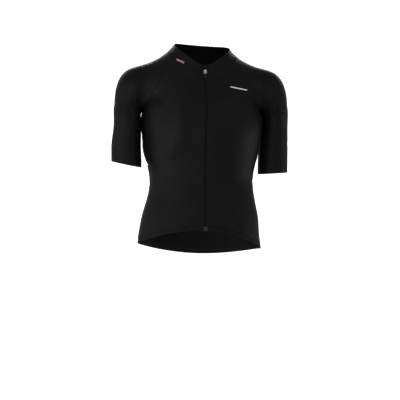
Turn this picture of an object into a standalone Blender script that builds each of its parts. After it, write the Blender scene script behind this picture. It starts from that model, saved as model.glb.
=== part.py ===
"""A short-sleeved cycling jersey, worn and hollow: the cloth panels with their seams, the collar, the hem
bands, the rear pockets and the full-length zip. Metres, +Z up. The wearer's left is +X and the front
faces -Y. The origin lies between the shoulders, level with the base of the neck."""

import math
from collections import namedtuple

import bmesh
import bpy
import numpy as np
from mathutils import Matrix

# ---------------------------------------------------------------- sizes of the cloth
WALL = 0.0012
BAND_WALL = 0.0014
SEAM_GAP = 0.0003
LAYER_GAP = 0.0003
HEM_BAND_HEIGHT = 0.012
COLLAR_HEIGHT = 0.019

# ---------------------------------------------------------------- how the jersey hangs
# How much lower the wearer's left side hangs, for each metre across: at the hem, from the waist to the
# shoulders, and at the neck.
LEAN_HEM = 0.046
LEAN_SHOULDERS = 0.014
LEAN_NECK = 0.065
LEAN_WAIST_Z, LEAN_SHOULDERS_Z = -0.35, -0.08
LEAN_COLLAR_Z, LEAN_NECK_Z = -0.05, 0.02
HEM_FRONT = -0.463
HEM_SIDE = -0.505
HEM_BACK = -0.528
SIDE_SEAM_Y = 0.006

# The torso's sections: height, sideways centre, half width, and depth to the front and to the back.
Section = namedtuple("Section", "z centre half front back")
TORSO = (
    Section(-0.560, -0.007, 0.168, 0.112, 0.124),
    Section(-0.500, -0.006, 0.160, 0.108, 0.118),
    Section(-0.460, -0.005, 0.1545, 0.104, 0.109),
    Section(-0.420, -0.002, 0.1490, 0.099, 0.099),
    Section(-0.385, 0.000, 0.1400, 0.095, 0.091),
    Section(-0.345, 0.000, 0.1338, 0.092, 0.085),
    Section(-0.310, -0.001, 0.1360, 0.094, 0.084),
    Section(-0.275, -0.002, 0.1445, 0.102, 0.087),
    Section(-0.240, -0.001, 0.1505, 0.112, 0.092),
    Section(-0.195, 0.000, 0.1562, 0.120, 0.098),
    Section(-0.150, 0.000, 0.1505, 0.117, 0.102),
    Section(-0.110, 0.000, 0.1380, 0.105, 0.101),
    Section(-0.070, 0.000, 0.1200, 0.088, 0.092),
    Section(-0.035, 0.000, 0.0950, 0.073, 0.078),
    Section(0.000, 0.000, 0.0700, 0.062, 0.066),
)
TORSO_SQUARENESS = 2.3
TORSO_TOP = -0.005
TORSO_TOP_ROUNDING = 0.030

# The sleeve's sections on the wearer's left: height, centre across and in depth, half width, half depth.
SleeveSection = namedtuple("SleeveSection", "z across back half depth")
SLEEVE = (
    SleeveSection(-0.340, 0.1895, 0.010, 0.0380, 0.0430),
    SleeveSection(-0.290, 0.1895, 0.009, 0.0390, 0.0445),
    SleeveSection(-0.240, 0.1910, 0.008, 0.0378, 0.0460),
    SleeveSection(-0.190, 0.1930, 0.007, 0.0354, 0.0485),
    SleeveSection(-0.150, 0.1916, 0.007, 0.0362, 0.0510),
    SleeveSection(-0.110, 0.1780, 0.007, 0.0440, 0.0530),
    SleeveSection(-0.080, 0.1680, 0.006, 0.0500, 0.0530),
)
SLEEVE_SQUARENESS = 2.1
SLEEVE_TOP = -0.095
SLEEVE_TOP_ROUNDING = 0.030
SLEEVE_END = -0.345

# Between these heights the arm goes over from where it hangs to where the armhole holds it.
ARM_OUT_LOW, ARM_OUT_HIGH = -0.26, -0.19
ARM_BACK_LOW, ARM_BACK_HIGH = -0.20, -0.13

# What differs between the two sleeves: the sign of x, how far the arm stands out and back, and its cuff.
Side = namedtuple("Side", "name sign outward backward cuff cuff_slope")
SIDES = (
    Side("right", -1, 0.006, -0.016, -0.301, 0.17),
    Side("left", 1, 0.000, 0.010, -0.307, 0.10),
)

SHOULDER_INNER = (0.050, 0.006, -0.064)
SHOULDER_INNER_RADIUS = 0.056
SHOULDER_OUTER = (0.1635, 0.006, -0.0972)
SHOULDER_OUTER_RADIUS = 0.055
SHOULDER_BLEND = 0.020
ARMHOLE_BLEND = 0.045
ARMHOLE_BLEND_LOW = -0.165
ARMHOLE_BLEND_HIGH = -0.095
NO_BLEND = 1e-6

NECK_LOW = (0.0, 0.004, -0.070)
NECK_LOW_RADIUS = 0.074
NECK_HIGH = (0.0, -0.012, 0.070)
NECK_HIGH_RADIUS = 0.058
NECK_BLEND = 0.040

# ---------------------------------------------------------------- the largest folds
# Each fold runs between two points seen from the front; facing is -1 in front and +1 behind. Height is out
# from the cloth (negative for a trough) and spread is how far its slope reaches to each side.
Fold = namedtuple("Fold", "facing x1 z1 x2 z2 height spread")
FOLDS = (
    Fold(-1, -0.098, -0.142, -0.094, -0.240, -0.0016, 0.0085),
    Fold(-1, -0.128, -0.118, -0.088, -0.158, -0.0018, 0.0080),
    Fold(-1, -0.118, -0.150, -0.120, -0.225, 0.0012, 0.0090),
    Fold(-1, 0.126, -0.112, 0.092, -0.150, -0.0018, 0.0080),
    Fold(-1, 0.119, -0.150, 0.116, -0.245, -0.0014, 0.0085),
    Fold(-1, -0.122, -0.305, -0.070, -0.330, -0.0013, 0.0090),
    Fold(-1, 0.124, -0.325, 0.062, -0.345, -0.0015, 0.0090),
    Fold(-1, -0.064, -0.405, -0.030, -0.458, -0.0014, 0.0085),
    Fold(-1, 0.062, -0.410, 0.098, -0.480, -0.0016, 0.0090),
    Fold(-1, -0.112, -0.420, -0.128, -0.480, 0.0016, 0.0100),
    Fold(-1, 0.150, -0.090, 0.168, -0.140, -0.0016, 0.0085),
    Fold(-1, -0.148, -0.092, -0.170, -0.145, -0.0014, 0.0085),
    Fold(1, -0.118, -0.295, -0.030, -0.312, 0.0020, 0.0100),
    Fold(1, 0.112, -0.300, 0.022, -0.322, 0.0018, 0.0095),
    Fold(1, -0.112, -0.140, -0.076, -0.200, -0.0016, 0.0090),
    Fold(1, 0.110, -0.138, 0.080, -0.192, -0.0018, 0.0090),
    Fold(1, -0.152, -0.100, -0.172, -0.150, -0.0014, 0.0090),
    Fold(1, 0.152, -0.096, 0.176, -0.152, -0.0016, 0.0090),
)
FOLD_FACING_REACH = 0.030

# ---------------------------------------------------------------- seams
NECK_CENTRE = (0.0, -0.005, -0.100)
NECK_TOP_RADIUS = 0.066
NECK_SEAM_RADIUS = 0.078
NECK_START_RADIUS = 0.075
NECK_TOP_FRONT = -0.0360
NECK_TOP_SIDE = 0.0062
NECK_TOP_BACK = 0.0270
NECK_DIP = 0.0140  # how much lower the collar comes at the zip, in a narrow curve
NECK_DIP_SHARPNESS = 8
NECK_RAGLAN_FRONT = math.radians(62)
NECK_RAGLAN_BACK = math.radians(120)
ABOVE_ARMPIT = (0.1523, 0.006, -0.105)
RAGLAN_CENTRE = (0.112, 0.004, -0.072)
INSIDE_YOKE_Z = -0.125

# ---------------------------------------------------------------- grid of each panel
TORSO_COLUMNS = 13
SLEEVE_COLUMNS = 20
SIDE_ROWS = 16
ARM_ROWS = 9
RAGLAN_ROWS = 11
HEM_LIKE_SHARE = 0.6  # the share of the side rows over which they go over from the hem's curve to level
CHEST_ROW_BELOW_ARMPIT = 0.012
ARM_BEND = (0.178, 0.004, -0.092)
ARM_TOP = (0.056, 0.0, -0.062)
ARM_TOP_TILT = math.radians(78)

# ---------------------------------------------------------------- zip
# Offsets from the form's outer surface, outwards, of each layer's outer face.
ZIP_HALF_GAP = 0.0030
TAPE_OUT = -(BAND_WALL + LAYER_GAP)
TAPE_WALL = 0.0010
TAPE_HALF_GAP = 0.0003
TAPE_OPEN_HALF_GAP = 0.0020
TAPE_OPENS_BELOW = 0.0018  # below the slider's middle
TAPE_UNDER_PANEL = 0.60  # share of the panel's first column that the tape reaches under
COIL_OUT = TAPE_OUT - TAPE_WALL - LAYER_GAP
COIL_WALL = 0.0014
COIL_HALF_WIDTH = 0.0026
COIL_FOOT = 0.0035
COIL_BELOW_POST = 0.0006

SLIDER_HEIGHT = -0.0596  # the height of its middle
SLIDER_LENGTH = 0.0100
SLIDER_TOP_WIDTH = 0.0058
SLIDER_LOW_WIDTH = 0.0086
SLIDER_PLATE = 0.0012
SLIDER_PLATE_OUT = 0.0005
SLIDER_CORNER = 0.0012
POST_WIDTH = 0.0026
POST_LENGTH = 0.0026
POST_UP = 0.0028  # from the slider's middle
POST_CORNER = 0.0005
BAIL_WIDTH = 0.0022
BAIL_LEG = 0.0010
BAIL_TUNNEL_LENGTH = 0.0046
BAIL_TUNNEL_HEIGHT = 0.0020
BAIL_TOP = 0.0009
HINGE_FROM_LEG = 0.0012
# The tunnel's ends and the pull's hinge line, down and out from the slider's middle.
BAIL_SPAN = (-0.0026, -0.0026 + BAIL_TUNNEL_LENGTH)
HINGE_DOWN = BAIL_SPAN[1] - HINGE_FROM_LEG
HINGE_OUT = SLIDER_PLATE_OUT + SLIDER_PLATE + BAIL_TUNNEL_HEIGHT / 2
SINK = 0.0003  # how far joined blocks run into each other

PULL_THICKNESS = 0.0011
PULL_BAR = 0.0011
PULL_HEAD_WIDTH = 0.0054
PULL_WINDOW_WIDTH = 0.0030
PULL_WINDOW_LENGTH = 0.0052
PULL_LENGTH = 0.0175
PULL_TIP_WIDTH = 0.0044
PULL_CORNER = 0.0011

BOX_WIDTH = 0.0105
BOX_HEIGHT = 0.0110
BOX_FRONT = 0.0014
BOX_CORNER = 0.0014
BOX_CORE_WIDTH = 0.0048
GARAGE_HALF_WIDTH = 0.0060
GARAGE_HEIGHT = 0.0105
GARAGE_WALL = 0.0010

NECK_START = math.asin(ZIP_HALF_GAP / NECK_START_RADIUS)  # the angle at which the collar meets the zip

# ---------------------------------------------------------------- rear pockets
POCKET_ROWS = 7
POCKET_INSET_COLUMNS = 1
POCKET_MOUTH = 0.0012  # how far its top edge stands off the back

# ---------------------------------------------------------------- colours
BLACK_KNIT = (0.012, 0.012, 0.014, 1.0)
BLACK_BAND = (0.011, 0.011, 0.012, 1.0)
BLACK_TAPE = (0.010, 0.010, 0.011, 1.0)
BLACK_RUBBER = (0.014, 0.014, 0.015, 1.0)
SILVER = (0.75, 0.75, 0.76, 1.0)


def clear_scene():
    for item in list(bpy.data.objects):
        bpy.data.objects.remove(item, do_unlink=True)


def material(name, colour, roughness, metallic=0.0):
    made = bpy.data.materials.new(name)
    made.use_nodes = True
    shader = made.node_tree.nodes["Principled BSDF"]
    shader.inputs["Base Color"].default_value = colour
    shader.inputs["Roughness"].default_value = roughness
    shader.inputs["Metallic"].default_value = metallic
    return made


# ---------------------------------------------------------------- the form of the worn cloth


def smooth_column(table, column):
    """A smooth curve through one column of a table, as a function of height."""
    heights = np.array([row.z for row in table])
    values = np.array([getattr(row, column) for row in table])
    slopes = np.gradient(values, heights)

    def at(z):
        z = np.clip(z, heights[0], heights[-1])
        k = np.clip(np.searchsorted(heights, z) - 1, 0, len(heights) - 2)
        span = heights[k + 1] - heights[k]
        t = (z - heights[k]) / span
        return (
            values[k] * (1 + 2 * t) * (1 - t) ** 2
            + slopes[k] * span * t * (1 - t) ** 2
            + values[k + 1] * t * t * (3 - 2 * t)
            + slopes[k + 1] * span * t * t * (t - 1)
        )

    return at


TORSO_AT = {name: smooth_column(TORSO, name) for name in Section._fields[1:]}
SLEEVE_AT = {name: smooth_column(SLEEVE, name) for name in SleeveSection._fields[1:]}


def ease(low, high, value):
    """0 up to low, 1 from high, and a smooth rise between."""
    t = np.clip((value - low) / (high - low), 0, 1)
    return t * t * (3 - 2 * t)


def smooth_union(a, b, reach):
    share = np.clip(0.5 + 0.5 * (b - a) / reach, 0, 1)
    return b + (a - b) * share - reach * share * (1 - share)


def smooth_cut(a, b, reach):
    return -smooth_union(-a, -b, reach)


def tube_field(x, y, half_x, half_y, squareness):
    """Distance from a tube's wall, along the line from its axis."""
    share = (np.abs(x) / half_x) ** squareness + (np.abs(y) / half_y) ** squareness
    share = np.maximum(share, 1e-9) ** (1 / squareness)
    return np.hypot(x, y) * (1 - 1 / share)


def cone_field(points, low, low_radius, high, high_radius):
    """Distance from a tapered rod with round ends."""
    low = np.asarray(low)
    axis = np.asarray(high) - low
    t = np.clip(((points - low) @ axis) / (axis @ axis), 0, 1)
    apart = np.linalg.norm(points - low - t[..., None] * axis, axis=-1)
    return apart - (low_radius + t * (high_radius - low_radius))


def torso_field(points):
    x, y, z = np.moveaxis(points, -1, 0)
    depth = np.where(y < 0, TORSO_AT["front"](z), TORSO_AT["back"](z))
    wall = tube_field(x - TORSO_AT["centre"](z), y, TORSO_AT["half"](z), depth, TORSO_SQUARENESS)
    body = smooth_cut(wall, z - TORSO_TOP, TORSO_TOP_ROUNDING)
    neck = cone_field(points, NECK_LOW, NECK_LOW_RADIUS, NECK_HIGH, NECK_HIGH_RADIUS)
    return smooth_union(body, neck, NECK_BLEND)


def arm_across(side, z):
    """The sleeve's centre across, with what this arm stands out past the table below the bust."""
    return SLEEVE_AT["across"](z) + side.outward * (1 - ease(ARM_OUT_LOW, ARM_OUT_HIGH, z))


def arm_back(side, z):
    return SLEEVE_AT["back"](z) + side.backward * (1 - ease(ARM_BACK_LOW, ARM_BACK_HIGH, z))


def sleeve_field(points, side):
    x, y, z = np.moveaxis(points, -1, 0)
    across = side.sign * x - arm_across(side, z)
    wall = tube_field(
        across, y - arm_back(side, z), SLEEVE_AT["half"](z), SLEEVE_AT["depth"](z), SLEEVE_SQUARENESS
    )
    sleeve = smooth_cut(np.maximum(wall, SLEEVE_END - z), z - SLEEVE_TOP, SLEEVE_TOP_ROUNDING)
    turned = points * (side.sign, 1, 1)
    shoulder = cone_field(
        turned, SHOULDER_INNER, SHOULDER_INNER_RADIUS, SHOULDER_OUTER, SHOULDER_OUTER_RADIUS
    )
    return smooth_union(shoulder, sleeve, SHOULDER_BLEND)


def fold_rise(points):
    """How far the folds lift the cloth at these points."""
    rise = np.zeros(points.shape[:-1])
    for fold in FOLDS:
        start, along = np.array([fold.x1, fold.z1]), np.array([fold.x2 - fold.x1, fold.z2 - fold.z1])
        apart = points[..., (0, 2)] - start
        share = np.clip((apart @ along) / (along @ along), 0, 1)
        off = np.sum((apart - share[..., None] * along) ** 2, axis=-1) / fold.spread**2
        facing = ease(0, FOLD_FACING_REACH, fold.facing * points[..., 1])
        rise += fold.height * facing * np.exp(-off)
    return rise


def form(points):
    """How far points lie outside the jersey's outer surface; negative inside it."""
    field = torso_field(points)
    reach = NO_BLEND + ARMHOLE_BLEND * ease(ARMHOLE_BLEND_LOW, ARMHOLE_BLEND_HIGH, points[..., 2])
    for side in SIDES:
        field = smooth_union(field, sleeve_field(points, side), reach)
    return field - fold_rise(points)


def form_normals(points, step=0.0006):
    steps = np.eye(3) * step
    slope = np.stack([form(points + d) - form(points - d) for d in steps], axis=-1)
    return slope / np.linalg.norm(slope, axis=-1, keepdims=True)


MARCH_FROM, MARCH_TO, MARCH_STEP = 0.004, 0.300, 0.001


def on_form(centres, guesses, field=form):
    """Where the lines from the centres, through the guesses, first leave the form."""
    guesses = np.asarray(guesses, float)
    centres = np.broadcast_to(np.asarray(centres, float), guesses.shape)
    rays = guesses - centres
    rays = rays / np.linalg.norm(rays, axis=-1, keepdims=True)
    reaches = np.arange(MARCH_FROM, MARCH_TO, MARCH_STEP)
    outside = field(centres[..., None, :] + rays[..., None, :] * reaches[:, None]) > 0
    far = reaches[np.argmax(outside, axis=-1)]
    near = far - MARCH_STEP
    for _ in range(24):
        middle = (near + far) / 2
        out = field(centres + rays * middle[..., None]) > 0
        far = np.where(out, middle, far)
        near = np.where(out, near, middle)
    return centres + rays * near[..., None]


def posed(points):
    """The lean of the worn jersey, the same for every cloth piece."""
    lean = blend(LEAN_HEM, LEAN_SHOULDERS, ease(LEAN_WAIST_Z, LEAN_SHOULDERS_Z, points[..., 2]))
    lean = blend(lean, LEAN_NECK, ease(LEAN_COLLAR_Z, LEAN_NECK_Z, points[..., 2]))
    down = points[..., 0] * lean
    return points - down[..., None] * (0, 0, 1)


# ---------------------------------------------------------------- seam lines


def neck_height(angle, top):
    """Height of the collar's top edge, or of its seam, round the neck from the front."""
    mean = (NECK_TOP_FRONT + NECK_TOP_BACK) / 2
    tilt = (NECK_TOP_FRONT - NECK_TOP_BACK) / 2
    bend = (mean - NECK_TOP_SIDE) / 2
    height = mean - bend + tilt * np.cos(angle) + bend * np.cos(2 * angle)
    height = height - NECK_DIP * np.maximum(0, np.cos(angle)) ** NECK_DIP_SHARPNESS
    return height if top else height - COLLAR_HEIGHT


def neck_points(sign, angles, top):
    angles = np.asarray(angles, float)
    radius = NECK_TOP_RADIUS if top else NECK_SEAM_RADIUS
    across, forward = sign * radius * np.sin(angles), NECK_CENTRE[1] - radius * np.cos(angles)
    guess = np.stack([across, forward, neck_height(angles, top)], axis=-1)
    return on_form(NECK_CENTRE, guess)


def raglan_points(side, facing, shares):
    """The raglan seam from the armpit (share 0) to the neck (share 1); facing is -1 in front, +1 behind."""
    turn = np.array([side.sign, 1, 1])
    centre = np.array(RAGLAN_CENTRE) * turn
    above = np.array(ABOVE_ARMPIT) * turn
    armpit = on_form(above, above - (0, 0, WALL))
    down = (armpit - centre) / np.linalg.norm(armpit - centre)
    forth = np.array([0, facing, 0]) - down * (down[1] * facing)
    forth /= np.linalg.norm(forth)
    across = np.cross(down, forth)
    angle = NECK_RAGLAN_FRONT if facing < 0 else NECK_RAGLAN_BACK
    neck = neck_points(side.sign, [angle], False)[0] - centre
    last = math.atan2(neck @ forth, neck @ down)
    drift = (neck @ across) / math.hypot(neck @ forth, neck @ down)
    turns = np.asarray(shares) * last
    rays = np.cos(turns)[:, None] * down + np.sin(turns)[:, None] * forth
    rays = rays + (drift * np.asarray(shares) ** 2)[:, None] * across
    points = on_form(centre, centre + rays)
    points[0] = armpit
    return points


SIDE_SHARES = 1 - (1 - np.linspace(0, 1, SIDE_ROWS + 1)) ** 1.5
ARM_SHARES = 1 - (1 - np.linspace(0, 1, ARM_ROWS + 1)) ** 1.6
RAGLAN_SHARES = np.linspace(0, 1, RAGLAN_ROWS + 1) ** 1.25


def blend(a, b, share):
    return a + (b - a) * share


# ---------------------------------------------------------------- panels


def torso_half(side, facing):
    """Rows of points from the centre line to the side: the hem edge first, then the panel's own rows."""
    columns = np.linspace(0, 1, TORSO_COLUMNS + 1)
    raglan = raglan_points(side, facing, RAGLAN_SHARES)
    armpit = raglan[0]
    hem_centre = HEM_FRONT if facing < 0 else HEM_BACK
    seam_low = HEM_SIDE + HEM_BAND_HEIGHT
    side_heights = np.concatenate([[HEM_SIDE], blend(seam_low, armpit[2], SIDE_SHARES[:-1])])
    start = NECK_START if facing < 0 else math.pi
    finish = NECK_RAGLAN_FRONT if facing < 0 else NECK_RAGLAN_BACK
    neck = neck_points(side.sign, blend(start, finish, columns), False)
    centre_low = hem_centre + HEM_BAND_HEIGHT
    centre_mid = armpit[2] - CHEST_ROW_BELOW_ARMPIT
    centre_heights = np.concatenate(
        [
            [hem_centre],
            blend(centre_low, centre_mid, SIDE_SHARES[:-1]),
            blend(centre_mid, neck[0, 2], RAGLAN_SHARES),
        ]
    )
    middle = ZIP_HALF_GAP * side.sign if facing < 0 else 0.0
    rows = []
    for number, centre_height in enumerate(centre_heights):
        below = number < len(side_heights)
        if below:
            z = side_heights[number]
            axis = np.array([TORSO_AT["centre"](z), SIDE_SEAM_Y, z])
            edge = on_form(axis, axis + np.array([side.sign, 0, 0]))
        else:
            edge = raglan[number - len(side_heights)]
        hem_like = 1 - ease(0, HEM_LIKE_SHARE, number / len(side_heights))
        steps = blend(columns, 0.5 - 0.5 * np.cos(math.pi * columns), hem_like)
        heights = blend(centre_height, edge[2], steps)
        axis_x = TORSO_AT["centre"](heights)
        reach = TORSO_AT["front"](heights) if facing < 0 else TORSO_AT["back"](heights)
        edge_turn = math.atan2(abs(edge[0] - axis_x[-1]) / TORSO_AT["half"](edge[2]), -edge[1] / reach[-1])
        start_turn = 0.0 if facing < 0 else math.pi
        turns = blend(start_turn, edge_turn, columns)
        edge_reach = math.hypot((edge[0] - axis_x[-1]) / TORSO_AT["half"](edge[2]), edge[1] / reach[-1])
        grow = blend(1.0, edge_reach, columns)
        guess = np.stack(
            [
                axis_x + side.sign * grow * TORSO_AT["half"](heights) * np.sin(turns),
                -grow * reach * np.cos(turns),
                heights,
            ],
            axis=-1,
        )
        rows.append((guess, edge))
    top_guess = rows[-1][0]
    grid = []
    for number, (guess, edge) in enumerate(rows):
        rise = max(0, number - len(side_heights)) / RAGLAN_ROWS
        guess = guess + (neck - top_guess) * rise**2
        centres = np.stack(
            [
                TORSO_AT["centre"](guess[:, 2]) * (1 - rise),
                np.zeros(len(guess)),
                np.minimum(guess[:, 2], INSIDE_YOKE_Z),
            ],
            axis=-1,
        )
        points = on_form(centres, guess)
        points[0] = on_form(centres[0] * (0, 1, 1) + (middle, 0, 0), guess[0] * (0, 1, 1) + (middle, 0, 0))
        points[-1] = edge
        grid.append(points)
    grid[-1] = neck
    return np.array(grid)


def sleeve_sheet(side):
    """The sleeve's rows from the cuff up, each from its front seam round the outside to its back seam."""
    shares = np.linspace(0, 1, SLEEVE_COLUMNS + 1)
    turn = np.array([side.sign, 1, 1])
    front = raglan_points(side, -1, RAGLAN_SHARES)
    back = raglan_points(side, 1, RAGLAN_SHARES)
    armpit = front[0] * turn
    grid = []
    for share in ARM_SHARES[:-1]:
        height = blend(side.cuff, armpit[2], share)
        slope = side.cuff_slope * (1 - share)
        angles = blend(math.pi, -math.pi, shares)
        half, depth = SLEEVE_AT["half"](height), SLEEVE_AT["depth"](height)
        heights = height + slope * half * np.cos(angles)
        centres = np.stack([arm_across(side, heights), arm_back(side, heights), heights], axis=-1)
        level = np.zeros(len(angles))
        round_arm = np.stack([half * np.cos(angles), -depth * np.sin(angles), level], axis=-1)
        grid.append(on_form(centres * turn, (centres + round_arm) * turn))
    low = np.array([arm_across(side, armpit[2]), arm_back(side, armpit[2]), armpit[2]])
    bend, high = np.array(ARM_BEND), np.array(ARM_TOP)
    for number, share in enumerate(RAGLAN_SHARES):
        centre = (1 - share) ** 2 * low + 2 * share * (1 - share) * bend + share**2 * high
        tilt = blend(0, ARM_TOP_TILT, share)
        outer = np.array([math.cos(tilt), 0, math.sin(tilt)])
        along = np.array([-math.sin(tilt), 0, math.cos(tilt)])
        ends = []
        for point in (front[number] * turn, back[number] * turn):
            arm = point - centre
            angle = math.atan2(-arm[1], arm @ outer)
            ends.append((angle, (arm @ along) / math.hypot(arm[1], arm @ outer)))
        (first, first_drift), (last, last_drift) = ends
        if number == 0:
            first, last = math.pi, -math.pi
        if last > 0:
            last -= 2 * math.pi
        angles = blend(first, last, shares)
        drift = first_drift * np.maximum(0, 1 - 2 * shares) ** 2
        drift = drift + last_drift * np.maximum(0, 2 * shares - 1) ** 2
        rays = np.cos(angles)[:, None] * outer + np.sin(angles)[:, None] * (0, -1, 0)
        rays = rays + drift[:, None] * along
        points = on_form(centre * turn, (centre + rays * SLEEVE_AT["half"](centre[2])) * turn)
        points[0], points[-1] = front[number], back[number]
        grid.append(points)
    grid[-1] = neck_points(side.sign, blend(NECK_RAGLAN_FRONT, NECK_RAGLAN_BACK, shares), False)
    return np.array(grid)


# ---------------------------------------------------------------- from points to solids


def seam_shift(grid, normals, edges):
    """Points drawn back from the named edges by half a seam's gap, within the surface."""
    moved = grid.copy()
    views = {
        "bottom": lambda a: a,
        "top": lambda a: a[::-1],
        "left": lambda a: np.swapaxes(a, 0, 1),
        "right": lambda a: np.swapaxes(a, 0, 1)[::-1],
    }
    for name in edges:
        view = views[name]
        line, inner, upright = view(grid)[0], view(grid)[1], view(normals)[0]
        inward = np.cross(upright[1:] + upright[:-1], line[1:] - line[:-1])
        toward = (inner[1:] + inner[:-1]) - (line[1:] + line[:-1])
        inward *= np.sign(np.sum(inward * toward, axis=-1, keepdims=True))
        inward /= np.linalg.norm(inward, axis=-1, keepdims=True)
        before = np.concatenate([inward[:1], inward])
        after = np.concatenate([inward, inward[-1:]])
        mitre = 1 + np.sum(before * after, axis=-1, keepdims=True)
        view(moved)[0] += (before + after) / np.maximum(mitre, 0.5) * SEAM_GAP / 2
    return moved


def sheet_solid(name, outer, inner, finish, collection):
    """A closed sheet between two grids of points."""
    rows, columns = outer.shape[:2]
    bm = bmesh.new()
    bmesh.ops.create_grid(bm, x_segments=columns - 1, y_segments=rows - 1, size=0.5)
    number = bm.verts.layers.int.new("number")
    for vert in bm.verts:
        column = round((vert.co.x + 0.5) * (columns - 1))
        row = round((vert.co.y + 0.5) * (rows - 1))
        vert[number] = row * columns + column
    everything = bm.faces[:] + bm.edges[:] + bm.verts[:]
    made = bmesh.ops.extrude_face_region(bm, geom=everything, use_keep_orig=True)
    copies = {item for item in made["geom"] if isinstance(item, bmesh.types.BMVert)}
    outer, inner = outer.reshape(-1, 3), inner.reshape(-1, 3)
    for vert in bm.verts:
        vert.co = (inner if vert in copies else outer)[vert[number]]
    bmesh.ops.recalc_face_normals(bm, faces=bm.faces[:])
    mesh = bpy.data.meshes.new(name)
    bm.to_mesh(mesh)
    bm.free()
    mesh.materials.append(finish)
    mesh.shade_smooth()
    mesh.set_sharp_from_angle(angle=math.radians(50))
    obj = bpy.data.objects.new(name, mesh)
    collection.objects.link(obj)
    return obj


def cloth(name, grid, seams, finish, collection, out=0.0, wall=WALL):
    """A cloth piece: its outer face stands `out` off the form, and its wall goes inwards from there."""
    normals = form_normals(grid)
    shifted = seam_shift(grid, normals, seams)
    outer = shifted + normals * np.asarray(out)
    inner = outer - normals * wall
    return sheet_solid(name, posed(outer), posed(inner), finish, collection)


def neck_angles():
    """The angles of the collar's columns from the zip to the centre of the back."""
    columns = np.linspace(0, 1, TORSO_COLUMNS + 1)
    over = np.linspace(0, 1, SLEEVE_COLUMNS + 1)
    return np.concatenate(
        [
            blend(NECK_START, NECK_RAGLAN_FRONT, columns),
            blend(NECK_RAGLAN_FRONT, NECK_RAGLAN_BACK, over)[1:],
            blend(NECK_RAGLAN_BACK, math.pi, columns)[1:],
        ]
    )


def collar_half(side):
    """The collar's seam edge, middle and top edge, from the zip to the centre of the back."""
    angles = neck_angles()
    low = neck_points(side.sign, angles, False)
    high = neck_points(side.sign, angles, True)
    middle = on_form(NECK_CENTRE, (low + high) / 2)
    half = np.array([low, middle, high])
    half[:, 0, 0] = side.sign * ZIP_HALF_GAP
    return half


# ---------------------------------------------------------------- the zip's soft parts


class ZipEdge:
    """The panel edge beside the zip, from the hem up to the collar's top edge, with its normals."""

    def __init__(self, front, collar):
        self.edge = np.concatenate([front[:, 0], collar[1:, 0]])
        self.next = np.concatenate([front[:, 1], collar[1:, 1]])
        self.edge_normals = form_normals(self.edge)
        self.next_normals = form_normals(self.next)

    def at(self, values, heights):
        """Values of the edge's points, read along the straight lines between them."""
        return np.stack([np.interp(heights, self.edge[:, 2], values[:, k]) for k in range(3)], axis=-1)

    def heights(self, low, high, extra=()):
        inside = [z for z in self.edge[:, 2] if low + 0.001 < z < high - 0.001]
        return np.array(sorted([low, high, *inside, *extra]))


def flat_normals(normals):
    normals = normals * (0, 1, 1)
    return normals / np.linalg.norm(normals, axis=-1, keepdims=True)


def zip_tape(side, edge, finish, collection):
    closed, opened = SLIDER_HEIGHT - TAPE_OPENS_BELOW, SLIDER_HEIGHT
    heights = edge.heights(edge.edge[0, 2], edge.edge[-1, 2], (closed, opened))
    line, normals = edge.at(edge.edge, heights), edge.at(edge.edge_normals, heights)
    under, under_normals = edge.at(edge.next, heights), edge.at(edge.next_normals, heights)
    inner = line * (0, 1, 1)
    inner[:, 0] = side.sign * np.where(heights > closed, TAPE_OPEN_HALF_GAP, TAPE_HALF_GAP)
    grid = np.stack([inner, line, blend(line, under, TAPE_UNDER_PANEL)], axis=1)
    outside = blend(normals, under_normals, TAPE_UNDER_PANEL)
    upright = np.stack([flat_normals(normals), normals, outside], axis=1)
    outer = grid + upright * TAPE_OUT
    inside = outer - upright * TAPE_WALL
    sheet_solid("zip_tape_" + side.name, posed(outer), posed(inside), finish, collection)


def zip_coil(edge, finish, collection):
    top = SLIDER_HEIGHT + POST_UP - POST_LENGTH / 2 - COIL_BELOW_POST
    heights = edge.heights(HEM_FRONT + COIL_FOOT, top)
    line, normals = edge.at(edge.edge, heights), flat_normals(edge.at(edge.edge_normals, heights))
    across = np.array([-1, 0, 1]) * COIL_HALF_WIDTH
    grid = line[:, None] * (0, 1, 1) + across[:, None] * (1, 0, 0)
    upright = np.repeat(normals[:, None], 3, axis=1)
    outer = grid + upright * COIL_OUT
    sheet_solid("zip_coil", posed(outer), posed(outer - upright * COIL_WALL), finish, collection)


def zip_garage(edge, finish, collection):
    """The small flap sewn over the zip's top end, on the outside of the collar."""
    top = edge.edge[-1, 2]
    heights = edge.heights(top - GARAGE_HEIGHT, top)
    line, normals = edge.at(edge.edge, heights), flat_normals(edge.at(edge.edge_normals, heights))
    across = np.linspace(-1, 1, 5) * GARAGE_HALF_WIDTH
    grid = line[:, None] * (0, 1, 1) + across[:, None] * (1, 0, 0)
    grid[..., 1] += across**2 / (2 * NECK_HIGH_RADIUS)
    upright = np.repeat(normals[:, None], len(across), axis=1)
    outer = grid + upright * (LAYER_GAP + GARAGE_WALL)
    sheet_solid("zip_garage", posed(outer), posed(outer - upright * GARAGE_WALL), finish, collection)


# ---------------------------------------------------------------- the zip's hard parts


def zip_frame(edge, height):
    """A frame on the zip: X to the wearer's right, Y down along the zip and Z outwards, as a matrix."""
    place = edge.at(edge.edge, [height])[0] * (0, 1, 1)
    out = flat_normals(edge.at(edge.edge_normals, [height]))[0]
    across = np.array([-1.0, 0.0, 0.0])
    down = np.cross(out, across)
    frame = Matrix.Identity(4)
    for column, axis in enumerate((across, down, out)):
        frame.col[column][:3] = axis
    frame.translation = place
    return frame


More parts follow.
